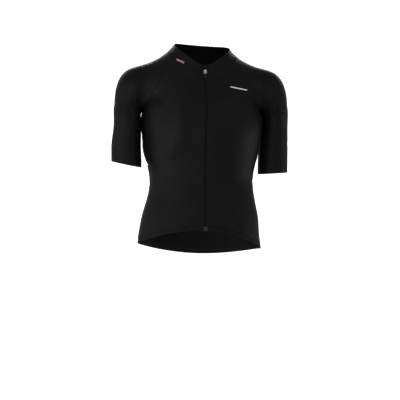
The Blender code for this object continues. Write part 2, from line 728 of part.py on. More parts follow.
def plate(name, outline, low, high, corner=0.0, windows=()):
    """A flat plate with rounded corners, from a closed outline in X and Y, between two heights."""
    curve = bpy.data.curves.new(name, "CURVE")
    curve.dimensions = "2D"
    curve.fill_mode = "BOTH"
    curve.extrude = (high - low) / 2
    for points in (outline, *windows):
        spline = curve.splines.new("POLY")
        rounded = rounded_outline(points, corner if points is outline else 0.0)
        spline.points.add(len(rounded) - 1)
        for point, (x, y) in zip(spline.points, rounded):
            point.co = (x, y, 0, 1)
        spline.use_cyclic_u = True
    guide = bpy.data.objects.new(name, curve)
    bpy.context.scene.collection.objects.link(guide)
    bpy.context.view_layer.update()
    mesh = bpy.data.meshes.new_from_object(guide.evaluated_get(bpy.context.evaluated_depsgraph_get()))
    bpy.data.objects.remove(guide, do_unlink=True)
    bm = bmesh.new()
    bm.from_mesh(mesh)
    bmesh.ops.remove_doubles(bm, verts=bm.verts[:], dist=1e-6)
    bmesh.ops.translate(bm, verts=bm.verts[:], vec=(0, 0, (low + high) / 2))
    bmesh.ops.recalc_face_normals(bm, faces=bm.faces[:])
    bm.to_mesh(mesh)
    bm.free()
    return mesh


def rounded_outline(points, radius, steps=4):
    """The outline with each corner turned into an arc."""
    if not radius:
        return points
    rounded = []
    corners = [np.array(p, float) for p in points]
    for k, corner in enumerate(corners):
        before, after = corners[k - 1] - corner, corners[(k + 1) % len(corners)] - corner
        before, after = before / np.linalg.norm(before), after / np.linalg.norm(after)
        half = math.acos(np.clip(before @ after, -1, 1)) / 2
        reach = radius / math.tan(half)
        centre = corner + (before + after) / np.linalg.norm(before + after) * radius / math.sin(half)
        start, end = corner + before * reach - centre, corner + after * reach - centre
        turn = math.atan2(start[0] * end[1] - start[1] * end[0], start @ end)
        for step in range(steps + 1):
            angle = turn * step / steps
            c, s = math.cos(angle), math.sin(angle)
            rounded.append(tuple(centre + (c * start[0] - s * start[1], s * start[0] + c * start[1])))
    return rounded


def rectangle(width, low, high):
    return [(-width / 2, low), (width / 2, low), (width / 2, high), (-width / 2, high)]


def joined(name, meshes, frame, finish, collection):
    """One solid from overlapping pieces, by Boolean union, placed by its frame."""
    body = bpy.data.objects.new(name, meshes[0])
    collection.objects.link(body)
    cutters = []
    for number, mesh in enumerate(meshes[1:]):
        piece = bpy.data.objects.new(f"{name}_piece_{number}", mesh)
        bpy.context.scene.collection.objects.link(piece)
        cutters.append(piece)
        union = body.modifiers.new("join", "BOOLEAN")
        union.operation = "UNION"
        union.object = piece
    bpy.context.view_layer.update()
    mesh = bpy.data.meshes.new_from_object(body.evaluated_get(bpy.context.evaluated_depsgraph_get()))
    for piece in cutters:
        bpy.data.objects.remove(piece, do_unlink=True)
    body.modifiers.clear()
    body.data = mesh
    mesh.name = name
    mesh.materials.clear()
    mesh.materials.append(finish)
    mesh.shade_smooth()
    mesh.set_sharp_from_angle(angle=math.radians(35))
    body.matrix_world = frame
    return body


def zip_slider(frame, finish, collection):
    """Top and bottom plates, the post between them and the bail that carries the pull."""
    half = SLIDER_LENGTH / 2
    outline = [
        (-SLIDER_TOP_WIDTH / 2, -half),
        (SLIDER_TOP_WIDTH / 2, -half),
        (SLIDER_LOW_WIDTH / 2, half),
        (-SLIDER_LOW_WIDTH / 2, half),
    ]
    plate_top = SLIDER_PLATE_OUT + SLIDER_PLATE
    under = COIL_OUT - COIL_WALL - LAYER_GAP
    tunnel_low, tunnel_high = BAIL_SPAN
    arch_low, arch_high = plate_top + BAIL_TUNNEL_HEIGHT, plate_top + BAIL_TUNNEL_HEIGHT + BAIL_TOP
    post = rectangle(POST_WIDTH, -POST_UP - POST_LENGTH / 2, -POST_UP + POST_LENGTH / 2)
    upper_leg = rectangle(BAIL_WIDTH, tunnel_low - BAIL_LEG, tunnel_low)
    lower_leg = rectangle(BAIL_WIDTH, tunnel_high, tunnel_high + BAIL_LEG)
    arch = rectangle(BAIL_WIDTH, tunnel_low - BAIL_LEG, tunnel_high + BAIL_LEG)
    pieces = [
        plate("top", outline, SLIDER_PLATE_OUT, plate_top, SLIDER_CORNER),
        plate("bottom", outline, under - SLIDER_PLATE, under, SLIDER_CORNER),
        plate("post", post, under - SINK, SLIDER_PLATE_OUT + SINK, POST_CORNER),
        plate("upper_leg", upper_leg, plate_top - SINK, arch_low + SINK),
        plate("lower_leg", lower_leg, plate_top - SINK, arch_low + SINK),
        plate("arch", arch, arch_low, arch_high),
    ]
    return joined("zip_slider", pieces, frame, finish, collection)


def zip_pull(frame, finish, collection):
    """A flat tab with a window at its head; the bar above the window turns in the bail's tunnel."""
    bar = PULL_BAR / 2
    outline = [
        (-PULL_HEAD_WIDTH / 2, -bar),
        (PULL_HEAD_WIDTH / 2, -bar),
        (PULL_TIP_WIDTH / 2, PULL_LENGTH),
        (-PULL_TIP_WIDTH / 2, PULL_LENGTH),
    ]
    window = rectangle(PULL_WINDOW_WIDTH, bar, PULL_WINDOW_LENGTH)
    half = PULL_THICKNESS / 2
    mesh = plate("pull", outline, -half, half, PULL_CORNER, (window,))
    turned = frame @ Matrix.Translation((0, HINGE_DOWN, HINGE_OUT))
    return joined("zip_pull", [mesh], turned, finish, collection)


def zip_box(edge, finish, collection):
    """The box at the zip's bottom end: a face over both hem bands, and a core between them."""
    frame = zip_frame(edge, HEM_FRONT + BOX_HEIGHT / 2)
    face = rectangle(BOX_WIDTH, -BOX_HEIGHT / 2, BOX_HEIGHT / 2)
    core = rectangle(BOX_CORE_WIDTH, -BOX_HEIGHT / 2 + BOX_CORNER, BOX_HEIGHT / 2 - BOX_CORNER)
    pieces = [
        plate("face", face, LAYER_GAP, LAYER_GAP + BOX_FRONT, BOX_CORNER),
        plate("core", core, TAPE_OUT + LAYER_GAP, LAYER_GAP + SINK),
    ]
    return joined("zip_box", pieces, frame, finish, collection)


def build():
    clear_scene()
    jersey = bpy.data.collections.new("cycling_jersey")
    bpy.context.scene.collection.children.link(jersey)
    knit = material("black_knit", BLACK_KNIT, 0.75)
    band = material("black_band", BLACK_BAND, 0.65)
    tape = material("black_tape", BLACK_TAPE, 0.70)
    metal = material("silver", SILVER, 0.30, 1.0)
    rubber = material("black_rubber", BLACK_RUBBER, 0.50)
    fronts, backs, collars, edges = {}, {}, {}, {}
    for side in SIDES:
        fronts[side.name] = torso_half(side, -1)
        backs[side.name] = torso_half(side, 1)
        collars[side.name] = collar_half(side)
        edges[side.name] = ZipEdge(fronts[side.name], collars[side.name])
    for side in SIDES:
        front = fronts[side.name]
        cloth("front_" + side.name, front[1:], ("bottom", "right", "top"), knit, jersey)
        cloth("hem_front_" + side.name, front[:2], ("right", "top"), band, jersey, wall=BAND_WALL)
        cloth("sleeve_" + side.name, sleeve_sheet(side), ("left", "right", "top"), knit, jersey)
        zip_tape(side, edges[side.name], tape, jersey)

    back = np.concatenate([backs["right"][:, ::-1], backs["left"][:, 1:]], axis=1)
    cloth("back", back[1:], ("bottom", "left", "right", "top"), knit, jersey)
    cloth("hem_back", back[:2], ("left", "right", "top"), band, jersey, wall=BAND_WALL)
    pocket = back[1 : 2 + POCKET_ROWS, POCKET_INSET_COLUMNS:-POCKET_INSET_COLUMNS]
    lift = LAYER_GAP + WALL + POCKET_MOUTH * np.linspace(0, 1, len(pocket)) ** 3
    cloth("rear_pockets", pocket, ("bottom",), knit, jersey, out=lift[:, None, None])

    collar = np.concatenate([collars["right"], collars["left"][:, ::-1][:, 1:]], axis=1)
    cloth("collar", collar, ("bottom",), band, jersey, wall=BAND_WALL)

    edge = edges["left"]
    zip_coil(edge, tape, jersey)
    zip_garage(edge, band, jersey)
    zip_box(edge, rubber, jersey)
    frame = zip_frame(edge, SLIDER_HEIGHT)
    zip_slider(frame, metal, jersey)
    zip_pull(frame, rubber, jersey)


build()
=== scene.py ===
import math
import random

import bmesh
import bpy
import numpy as np
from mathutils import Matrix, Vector
from mathutils.bvhtree import BVHTree
from mathutils.kdtree import KDTree


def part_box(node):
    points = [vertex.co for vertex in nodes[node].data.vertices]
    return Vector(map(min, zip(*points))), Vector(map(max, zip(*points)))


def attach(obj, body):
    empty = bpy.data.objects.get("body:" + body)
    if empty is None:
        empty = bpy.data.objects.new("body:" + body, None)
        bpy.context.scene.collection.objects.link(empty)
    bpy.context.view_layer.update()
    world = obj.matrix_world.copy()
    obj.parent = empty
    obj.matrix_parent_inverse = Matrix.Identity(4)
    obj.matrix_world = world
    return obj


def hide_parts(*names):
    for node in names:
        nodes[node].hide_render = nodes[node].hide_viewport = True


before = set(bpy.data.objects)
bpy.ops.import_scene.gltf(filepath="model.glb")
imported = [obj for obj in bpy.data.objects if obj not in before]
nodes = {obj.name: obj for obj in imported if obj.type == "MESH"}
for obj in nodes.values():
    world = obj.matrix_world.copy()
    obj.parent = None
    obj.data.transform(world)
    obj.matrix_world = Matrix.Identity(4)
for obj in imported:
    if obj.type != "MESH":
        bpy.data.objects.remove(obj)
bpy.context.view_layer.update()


# Front panels, right and left. Each is cut in one piece from a fine black warp-knitted polyester
# with elastane, heat set so that it lies close. The zip joins them, and flatlock seams join them to
# the back and the raglan sleeves.

KNIT_DARK = (0.0031, 0.0031, 0.0039, 1.0)
KNIT_LIGHT = (0.0060, 0.0059, 0.0069, 1.0)
KNIT_REVERSE = (0.0068, 0.0068, 0.0078, 1.0)
WALE = 0.00095
COURSE = 0.00075
RIM_ANGLE = math.radians(50)
RIM_WIDEST = 0.0016
QUAD_ANGLE = math.radians(80)
EDGE_ROUND = 0.00025
MERGE_CLOTH = 2e-5
FITTING_ROUNDS = 3
SLEEVE_FROM = 0.172
SLEEVE_MIDDLE = 0.165
TRUNK_MIDDLE = 0.003
TRUNK_TOP = -0.12
CUFF_REACH = 0.12
UNWRAP_MARGIN = 0.001
TINY = 1e-12


class Value:
    """A socket of a material, with arithmetic that adds Math nodes."""

    def __init__(self, finish, socket):
        self.finish = finish
        self.socket = socket

    def maths(self, operation, *values):
        inputs = dict(enumerate(values))
        return self.finish.node("ShaderNodeMath", {"operation": operation}, inputs)

    def __add__(self, other):
        return self.maths("ADD", self, other)

    def __radd__(self, other):
        return self.maths("ADD", other, self)

    def __sub__(self, other):
        return self.maths("SUBTRACT", self, other)

    def __rsub__(self, other):
        return self.maths("SUBTRACT", other, self)

    def __mul__(self, other):
        return self.maths("MULTIPLY", self, other)

    def __rmul__(self, other):
        return self.maths("MULTIPLY", other, self)

    def __truediv__(self, other):
        return self.maths("DIVIDE", self, other)

    def __rtruediv__(self, other):
        return self.maths("DIVIDE", other, self)


class Finish:
    """A material: fixed settings of its surface shader, then nodes for what varies."""

    def __init__(self, name, **settings):
        self.material = bpy.data.materials.new(name)
        self.material.use_nodes = True
        self.tree = self.material.node_tree
        self.surface = self.tree.nodes["Principled BSDF"]
        for key, value in settings.items():
            self.surface.inputs[key.replace("_", " ")].default_value = value

    def node(self, kind, settings=None, inputs=None, output=0):
        made = self.tree.nodes.new(kind)
        for key, value in (settings or {}).items():
            setattr(made, key, value)
        for key, value in (inputs or {}).items():
            self.feed(made.inputs[key], value)
        return Value(self, made.outputs[output])

    def feed(self, socket, value):
        if isinstance(value, Value):
            self.tree.links.new(value.socket, socket)
        else:
            socket.default_value = value

    def surface_takes(self, **inputs):
        for key, value in inputs.items():
            self.feed(self.surface.inputs[key.replace("_", " ")], value)

    def mixed(self, share, first, second):
        inputs = {0: share, 6: first, 7: second}
        return self.node("ShaderNodeMix", {"data_type": "RGBA"}, inputs, 2)

    def noise(self, scale, detail=2.0, stretch=(1, 1, 1)):
        place = self.node("ShaderNodeTexCoord", output="Object")
        turned = self.node("ShaderNodeMapping", None, {"Vector": place, "Scale": stretch})
        inputs = {"Vector": turned, "Scale": scale, "Detail": detail, "Roughness": 0.55}
        return self.node("ShaderNodeTexNoise", None, inputs)

    def on_cloth(self):
        """Where a point lies across and along the cloth's own UV map, in metres."""
        place = self.node("ShaderNodeUVMap", {"uv_map": "cloth"})
        return [self.node("ShaderNodeSeparateXYZ", None, {0: place}, axis) for axis in (0, 1)]

    def bumped(self, height, distance, strength):
        inputs = {"Height": height, "Distance": distance, "Strength": strength}
        self.surface_takes(Normal=self.node("ShaderNodeBump", None, inputs))


def knit_finish(name, dark, light, wale, course, rough, relief, sheen):
    """Fine knit: rows of small slanting loops in columns. Lengths are in metres."""
    finish = Finish(name, Specular_IOR_Level=0.08, Sheen_Weight=sheen, Sheen_Roughness=0.45)
    across, along = finish.on_cloth()
    column = (across / wale).maths("FRACT", across / wale)
    leg = (column - 0.5).maths("ABSOLUTE", column - 0.5)
    slope = along / course + leg * 1.5
    row = slope.maths("SINE", slope * math.tau)
    hill = 1.0 - leg.maths("ABSOLUTE", leg * 4.0 - 1.0)
    loops = hill * (row * 0.35 + 0.65)
    cloudy, fine = finish.noise(7.0, 3.0), finish.noise(900.0, 1.0)
    tone = cloudy * 0.6 + fine * 0.25 + loops * 0.2
    finish.surface_takes(
        Base_Color=finish.mixed(tone, dark, light),
        Roughness=rough + (cloudy - 0.5) * 0.12 - loops * 0.04,
    )
    finish.bumped(loops + (fine - 0.5) * 0.3, relief, 0.55)
    return finish.material


knit_outside = knit_finish("knit", KNIT_DARK, KNIT_LIGHT, WALE, COURSE, 0.50, 0.00010, 0.004)
knit_inside = knit_finish(
    "knit_reverse", KNIT_DARK, KNIT_REVERSE, WALE, COURSE * 2, 0.66, 0.00012, 0.012
)
knit_edge = knit_finish("knit_cut_edge", KNIT_DARK, KNIT_DARK, WALE, COURSE, 0.75, 0.00006, 0.004)
KNIT_FINISHES = (knit_outside, knit_inside, knit_edge)


def built(name, bm):
    """The smooth mesh of bm, which is then freed."""
    for face in bm.faces:
        face.smooth = True
    mesh = bpy.data.meshes.new(name)
    bm.to_mesh(mesh)
    bm.free()
    for attribute in ("custom_normal", "sharp_face"):
        if attribute in mesh.attributes:
            mesh.attributes.remove(mesh.attributes[attribute])
    return mesh


def shown(name, data):
    """A new object of the scene, at the origin."""
    obj = bpy.data.objects.new(name, data)
    bpy.context.scene.collection.objects.link(obj)
    return obj


def edges_rounded(bm, edges, offset, material=-1):
    """Rounds the edges in two steps, with their own faces' material or the one given."""
    bmesh.ops.bevel(
        bm,
        geom=edges,
        offset=offset,
        offset_type="OFFSET",
        segments=2,
        profile=0.5,
        affect="EDGES",
        material=material,
        clamp_overlap=True,
    )


def on_cut_edge(face):
    """Whether a triangle is as narrow as the cloth is thick and stands square to its neighbour."""
    longest = max(edge.calc_length() for edge in face.edges)
    turn = max(edge.calc_face_angle(0.0) for edge in face.edges)
    return 2 * face.calc_area() / longest < RIM_WIDEST and turn > RIM_ANGLE


def islands(bm, walls):
    """Groups of faces that no wall edge parts."""
    found, seen = [], set()
    for face in bm.faces:
        if face in seen:
            continue
        seen.add(face)
        group, waiting = [], [face]
        while waiting:
            here = waiting.pop()
            group.append(here)
            for edge in here.edges:
                if edge in walls:
                    continue
                for other in edge.link_faces:
                    if other not in seen:
                        seen.add(other)
                        waiting.append(other)
        found.append(group)
    return found


def outwardness(group):
    """Above nought for faces that look away from the middle of the trunk or of their sleeve."""
    total = 0.0
    for face in group:
        centre = face.calc_center_median()
        side = math.copysign(SLEEVE_MIDDLE, centre.x) if abs(centre.x) > SLEEVE_FROM else 0.0
        middle = Vector((side, TRUNK_MIDDLE, min(centre.z, TRUNK_TOP)))
        total += face.calc_area() * face.normal.dot(centre - middle)
    return total


def rim_rings(group, rims):
    """The edge of the outer face, as closed rings of points in order."""
    steps = {}
    for face in group:
        for loop in face.loops:
            if loop.edge in rims:
                steps[loop.vert] = loop.link_loop_next.vert
    rings = []
    while steps:
        first = next(iter(steps))
        ring, here = [], first
        while here in steps:
            ring.append(here.co.copy())
            here = steps.pop(here)
        rings.append(ring)
    return rings


def in_metres(obj):
    """Unwraps the cloth and brings each flat patch to true size, with its V running up it."""
    bpy.ops.object.select_all(action="DESELECT")
    bpy.context.view_layer.objects.active = obj
    obj.select_set(True)
    bpy.ops.object.mode_set(mode="EDIT")
    bpy.ops.mesh.select_all(action="SELECT")
    bpy.ops.uv.unwrap(method="ANGLE_BASED", margin=UNWRAP_MARGIN)
    bpy.ops.object.mode_set(mode="OBJECT")
    bm = bmesh.new()
    bm.from_mesh(obj.data)
    layer = bm.loops.layers.uv.active
    flat, largest = [0.0, 0.0], 0.0
    for group in islands(bm, {edge for edge in bm.edges if edge.seam}):
        loops = [loop for face in group for loop in face.loops]
        spots = np.array([loop[layer].uv for loop in loops])
        heights = np.array([loop.vert.co.z for loop in loops])
        real = sum(face.calc_area() for face in group)
        drawn = 0.0
        for face in group:
            ring = np.array([loop[layer].uv for loop in face.loops])
            after = np.roll(ring, -1, axis=0)
            drawn += 0.5 * abs(float(np.sum(ring[:, 0] * after[:, 1] - ring[:, 1] * after[:, 0])))
        centred = spots - spots.mean(axis=0)
        spread = centred.T @ centred + np.eye(2) * TINY
        up = np.linalg.solve(spread, centred.T @ (heights - heights.mean()))
        up = up / max(np.linalg.norm(up), TINY)
        turned = np.stack([centred @ (up[1], -up[0]), centred @ up], axis=1)
        turned = turned * math.sqrt(real / max(drawn, TINY))
        turned = turned - turned.min(axis=0)
        for loop, spot in zip(loops, turned):
            loop[layer].uv = spot
        if group[0].material_index == 0 and real > largest:
            flat, largest = turned.max(axis=0), real
    bm.to_mesh(obj.data)
    bm.free()
    return float(flat[0]), float(flat[1]), largest


def tube_cut(group, rims, top):
    """Marks the cut of a tube's wall along its inner side, from its lower mouth up to the top."""
    inner = {edge for face in group for edge in face.edges if edge not in rims}
    mouth = [min(edge.verts, key=lambda vert: vert.co.z) for edge in inner]
    mouth = [vert for vert in mouth if any(edge in rims for edge in vert.link_edges)]
    low = [vert for vert in mouth if vert.co.z < top - CUFF_REACH]
    here = min(low, key=lambda vert: abs(vert.co.x))
    while here.co.z < top:
        rising = [(edge.other_vert(here), edge) for edge in here.link_edges if edge in inner]
        vert, edge = max(rising, key=lambda step: (step[0].co - here.co).normalized().z)
        if vert.co.z <= here.co.z:
            break
        edge.seam, here = True, vert


rims_of = {}


def rounded_mesh(obj):
    """The object's mesh with its modifiers applied."""
    graph = bpy.context.evaluated_depsgraph_get()
    return bpy.data.meshes.new_from_object(
        obj.evaluated_get(graph), preserve_all_data_layers=True, depsgraph=graph
    )


def cloth_from(name, node, finishes, levels, cut_below=None):
    """A panel's solid as a piece of cloth: quads, a rounded rim, and a UV map in metres.

    Its faces take the first finish outside, the second inside and the third on the cut edge. A
    tube is cut for its UV map below the height cut_below."""
    bm = bmesh.new()
    bm.from_mesh(nodes[node].data)
    crease = bm.edges.layers.float.new("crease_edge")
    bm.loops.layers.uv.verify()
    bmesh.ops.remove_doubles(bm, verts=bm.verts, dist=MERGE_CLOTH)
    bm.normal_update()
    narrow = {face for face in bm.faces if on_cut_edge(face)}
    for edge in bm.edges:
        at_rim = [face in narrow for face in edge.link_faces]
        corner = all(at_rim) and edge.calc_face_angle(0.0) > RIM_ANGLE
        edge.seam = corner or any(at_rim) != all(at_rim)
    bmesh.ops.join_triangles(
        bm,
        faces=bm.faces,
        cmp_seam=True,
        angle_face_threshold=RIM_ANGLE,
        angle_shape_threshold=QUAD_ANGLE,
        topology_influence=1.0,
    )
    bm.normal_update()
    rims = {edge for edge in bm.edges if edge.seam}
    groups = sorted(islands(bm, rims), key=lambda group: sum(face.calc_area() for face in group))
    walls = groups[-2:]
    outer = max(walls, key=outwardness)
    for group in groups:
        place = 2 if group not in walls else 0 if group is outer else 1
        for face in group:
            face.material_index = place
    rims_of[name] = rim_rings(outer, rims)
    for edge in rims:
        edge.smooth, edge[crease] = False, 1.0
    if cut_below is not None:
        for group in walls:
            tube_cut(group, rims, cut_below)
    mesh = built(name, bm)
    mesh.uv_layers[0].name = "cloth"
    mesh.uv_layers.active = mesh.uv_layers["cloth"]
    obj = shown(name, mesh)
    in_metres(obj)
    for finish in finishes:
        mesh.materials.append(finish)
    rounding = obj.modifiers.new("rounding", "SUBSURF")
    rounding.levels = rounding.render_levels = levels
    corners = np.array([vert.co for vert in mesh.vertices])
    drawn = corners.copy()
    for _ in range(FITTING_ROUNDS):
        rounded = rounded_mesh(obj)
        placed = np.array([vert.co for vert in rounded.vertices[: len(corners)]])
        bpy.data.meshes.remove(rounded)
        drawn = drawn + corners - placed
        mesh.vertices.foreach_set("co", drawn.ravel())
        mesh.update()
    obj.data = rounded_mesh(obj)
    obj.modifiers.clear()
    bpy.data.meshes.remove(mesh)
    obj.data.name = name
    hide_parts(node)
    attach(obj, "garment")
    return obj


# Where the worn cloth gives way: (seen from, start, bend, end, height, width), in millimetres. A
# place is (across, up), across being X from the front or back and Y from a side. A height below
# nought is a trough with soft shoulders, one above nought a soft ridge.
CREASES = (
    ("front", (-68, -132), (-65, -205), (-68, -280), 5.0, 20.0),
    ("front", (-97, -150), (-96, -196), (-95, -240), 0.9, 7.0),
    ("front", (-132, -114), (-114, -126), (-86, -128), -0.35, 8.0),
    ("front", (-133, -132), (-124, -152), (-121, -184), -0.4, 6.0),
    ("front", (129, -110), (110, -124), (78, -128), -0.35, 8.5),
    ("front", (133, -128), (125, -150), (123, -181), -0.35, 6.0),
    ("front", (112, -146), (106, -172), (104, -212), 0.5, 9.0),
    ("front", (4.8, -180), (5.2, -300), (4, -442), 0.70, 2.0),
    ("front", (-106, -276), (-74, -290), (-45, -284), -0.6, 7.5),
    ("front", (-112, -312), (-86, -330), (-61, -334), -0.7, 6.0),
    ("front", (46, -296), (79, -304), (112, -292), -0.6, 6.5),
    ("front", (62, -338), (90, -341), (113, -329), -0.8, 5.5),
    ("front", (-73, -424), (-56, -448), (-32, -470), -0.9, 6.0),
    ("front", (60, -418), (76, -448), (95, -486), -0.9, 6.0),
    ("front", (-20, -392), (-23, -424), (-33, -452), 0.5, 6.5),
    ("front", (21, -360), (25, -400), (33, -441), 0.5, 7.5),
    ("front", (-150, -466), (-140, -470), (-127, -466), 1.3, 10.0),
    ("front", (-118, -390), (-106, -424), (-108, -462), -0.5, 6.0),
    ("front", (112, -384), (123, -420), (119, -462), -0.6, 6.5),
    ("front", (-58, -50), (-42, -73), (-16, -86), -0.4, 6.0),
    ("front", (56, -52), (38, -72), (17, -80), -0.4, 5.0),
    ("back", (-130, -124), (-100, -160), (-64, -182), -1.2, 7.5),
    ("back", (129, -118), (104, -162), (59, -176), -1.1, 7.0),
    ("back", (-124, -162), (-98, -196), (-70, -208), -0.8, 6.0),
    ("back", (123, -170), (92, -204), (73, -220), -0.9, 6.5),
    ("back", (-52, -232), (2, -246), (49, -229), -0.8, 8.0),
    ("back", (-112, -252), (-56, -268), (-13, -262), -1.0, 6.5),
    ("back", (12, -272), (61, -276), (115, -258), -0.9, 6.5),
    ("back", (-34, -64), (-26, -98), (-33, -142), 0.6, 8.0),
    ("back", (31, -58), (27, -100), (36, -136), 0.6, 8.5),
    ("back", (-96, -318), (-86, -352), (-90, -392), -0.8, 7.0),
    ("back", (-30, -322), (-18, -362), (-23, -410), -0.7, 7.5),
    ("back", (22, -318), (33, -350), (27, -396), -0.8, 6.5),
    ("back", (88, -320), (98, -364), (92, -414), -0.8, 7.5),
    ("back", (-72, -438), (-40, -452), (-6, -448), -0.7, 6.0),
    ("back", (70, -446), (97, -460), (122, -452), -0.7, 6.0),
    ("left", (-40, -214), (-3, -236), (34, -226), -0.9, 6.0),
    ("left", (-26, -282), (6, -296), (42, -284), -0.9, 6.0),
    ("left", (-34, -330), (0, -342), (35, -334), -1.0, 5.5),
    ("left", (-22, -388), (-6, -420), (-12, -456), -0.6, 6.5),
    ("right", (0, -142), (0, -180), (0, -240), 1.7, 20.0),
    ("right", (0, -148), (0, -168), (0, -190), 1.2, 14.0),
    ("right", (0, -215), (1, -258), (0, -302), 3.6, 20.0),
    ("left", (4, -235), (2, -270), (0, -308), 2.4, 18.0),
    ("right", (-38, -220), (-6, -240), (30, -233), -0.8, 6.0),
    ("right", (-30, -288), (4, -300), (38, -290), -1.0, 6.0),
    ("right", (-30, -336), (4, -350), (33, -338), -0.9, 5.5),
    ("right", (-16, -396), (1, -426), (-6, -462), -0.6, 7.0),
    ("sleeve_front", (-173, -112), (-184, -142), (-186, -180), -0.7, 5.0),
    ("sleeve_front", (-162, -90), (-182, -106), (-208, -104), -0.6, 6.0),
    ("sleeve_front", (-214, -206), (-198, -228), (-178, -234), -0.6, 6.0),
    ("sleeve_front", (169, -108), (178, -138), (178, -172), -0.7, 5.0),
    ("sleeve_front", (158, -88), (178, -104), (204, -104), -0.6, 6.0),
    ("sleeve_front", (208, -214), (192, -236), (173, -240), -0.6, 6.5),
    ("sleeve_back", (-170, -112), (-183, -146), (-185, -190), -0.9, 5.5),
    ("sleeve_back", (-212, -190), (-198, -206), (-179, -208), -0.7, 6.0),
    ("sleeve_back", (166, -110), (178, -142), (179, -184), -0.9, 5.5),
    ("sleeve_back", (206, -200), (193, -220), (175, -222), -0.7, 6.0),
    ("sleeve_side", (-16, -130), (4, -142), (26, -136), -0.5, 7.0),
    ("sleeve_side", (-10, -232), (10, -240), (33, -232), -0.5, 6.0),
)
LOOKS = {
    "front": (0, 2, (0, -1, 0)),
    "back": (0, 2, (0, 1, 0)),
    "left": (1, 2, (1, 0, 0)),
    "right": (1, 2, (-1, 0, 0)),
    "sleeve_front": (0, 2, (0, -1, 0)),
    "sleeve_back": (0, 2, (0, 1, 0)),
    "sleeve_side": (1, 2, (1, 0, 0)),
}
FACES_LITTLE = 0.05
FACES_FULLY = 0.45
CREASE_STEPS = 25
CREASE_REACH = 0.004
SHOULDER_HEIGHT = 0.4
SHOULDER_PLACE = 1.9
SHOULDER_WIDTH = 0.9
GATHER_REACH = 2.5
SEAM_STEPS = 12
SEAM_GAP = 0.0028

# The cloth stays as the solids have it at these places, out to the first distance, and takes its
# creases in full from the second.
KEPT_PLAIN = (
    ((-0.156, 0.004, -0.110), 0.012, 0.040),
    ((0.152, 0.006, -0.106), 0.012, 0.040),
    ((0.0, -0.0876, -0.0596), 0.012, 0.028),
)


def ease(value, low, high):
    """A smooth step from nought at low to one at high."""
    share = np.clip((value - low) / (high - low), 0.0, 1.0)
    return share * share * (3 - 2 * share)


def creases_at(points, normals, on_sleeve):
    """How far the creases lift or sink each point, in metres."""
    lift = np.zeros(len(points))
    for look, *places, height, width in CREASES:
        if look.startswith("sleeve") != on_sleeve:
            continue
        across, up, towards = LOOKS[look]
        facing = normals @ np.array(towards)
        if look == "sleeve_side":
            facing = np.abs(facing)
        share = np.linspace(0.0, 1.0, CREASE_STEPS)[:, None]
        start, bend, end = (np.array(place) / 1000 for place in places)
        path = (1 - share) ** 2 * start + 2 * share * (1 - share) * bend + share**2 * end
        spots = points[:, (across, up)]
        reach = width * CREASE_REACH
        low, high = path.min(axis=0) - reach, path.max(axis=0) + reach
        near = (facing > FACES_LITTLE) & np.all((spots > low) & (spots < high), axis=1)
        if not near.any():
            continue
        gaps = np.linalg.norm(spots[near][:, None] - path[None], axis=2)
        nearest = gaps.argmin(axis=1)
        gap = gaps.min(axis=1) / (width / 1000)
        along = share[nearest, 0]
        taper = np.sin(np.pi * along**0.85) ** 1.3
        bed = np.exp(-(gap**2))
        if height < 0:
            bed = bed - SHOULDER_HEIGHT * np.exp(-(((gap - SHOULDER_PLACE) / SHOULDER_WIDTH) ** 2))
        fading = ease(facing[near], FACES_LITTLE, FACES_FULLY)
        lift[near] += height / 1000 * bed * taper * fading
    return lift


class Seam:
    """A seam's line, smooth through the points of a panel's rim."""

    def __init__(self, corners):
        knots = np.array(corners, dtype=float)
        ends = np.concatenate([[2 * knots[0] - knots[1]], knots, [2 * knots[-1] - knots[-2]]])
        share = np.linspace(0.0, 1.0, SEAM_STEPS, endpoint=False)[:, None]
        runs = []
        for before, here, there, after in zip(ends, ends[1:], ends[2:], ends[3:]):
            turn = 2 * before - 5 * here + 4 * there - after
            twist = 3 * here - before - 3 * there + after
            runs.append(here + 0.5 * share * (there - before + share * (turn + share * twist)))
        self.points = np.concatenate([*runs, knots[-1:]])
        steps = np.linalg.norm(np.diff(self.points, axis=0), axis=1)
        self.lengths = np.concatenate([[0.0], np.cumsum(steps)])
        self.length = float(self.lengths[-1])
        self.tree = KDTree(len(self.points))
        for number, point in enumerate(self.points):
            self.tree.insert(point, number)
        self.tree.balance()

    def at(self, length):
        return Vector([np.interp(length, self.lengths, self.points[:, axis]) for axis in range(3)])

    def heading(self, length):
        return (self.at(length + 0.001) - self.at(length - 0.001)).normalized()


def seam_between(piece, neighbours):
    """The longest run of a piece's rim that lies along its neighbours' rims."""
    beside = [
        first.lerp(second, share / SEAM_STEPS)
        for other in neighbours
        for ring in rims_of[other]
        for first, second in zip(ring, ring[1:] + ring[:1])
        for share in range(SEAM_STEPS)
    ]
    tree = KDTree(len(beside))
    for number, point in enumerate(beside):
        tree.insert(point, number)
    tree.balance()
    longest, most = [], 0.0
    for ring in rims_of[piece]:
        near = [tree.find(point)[2] < SEAM_GAP for point in ring]
        if all(near):
            runs = [ring + ring[:1]]
        else:
            first = next(number for number in range(len(ring)) if not near[number])
            ring, near = ring[first:] + ring[:first], near[first:] + near[:first]
            runs, run = [], []
            for point, beside_it in zip(ring + ring[:1], near + [False]):
                if beside_it:
                    run.append(point)
                elif run:
                    runs.append(run)
                    run = []
        for run in runs:
            length = sum((after - before).length for before, after in zip(run, run[1:]))
            if length > most:
                longest, most = run, length
    return Seam(longest)


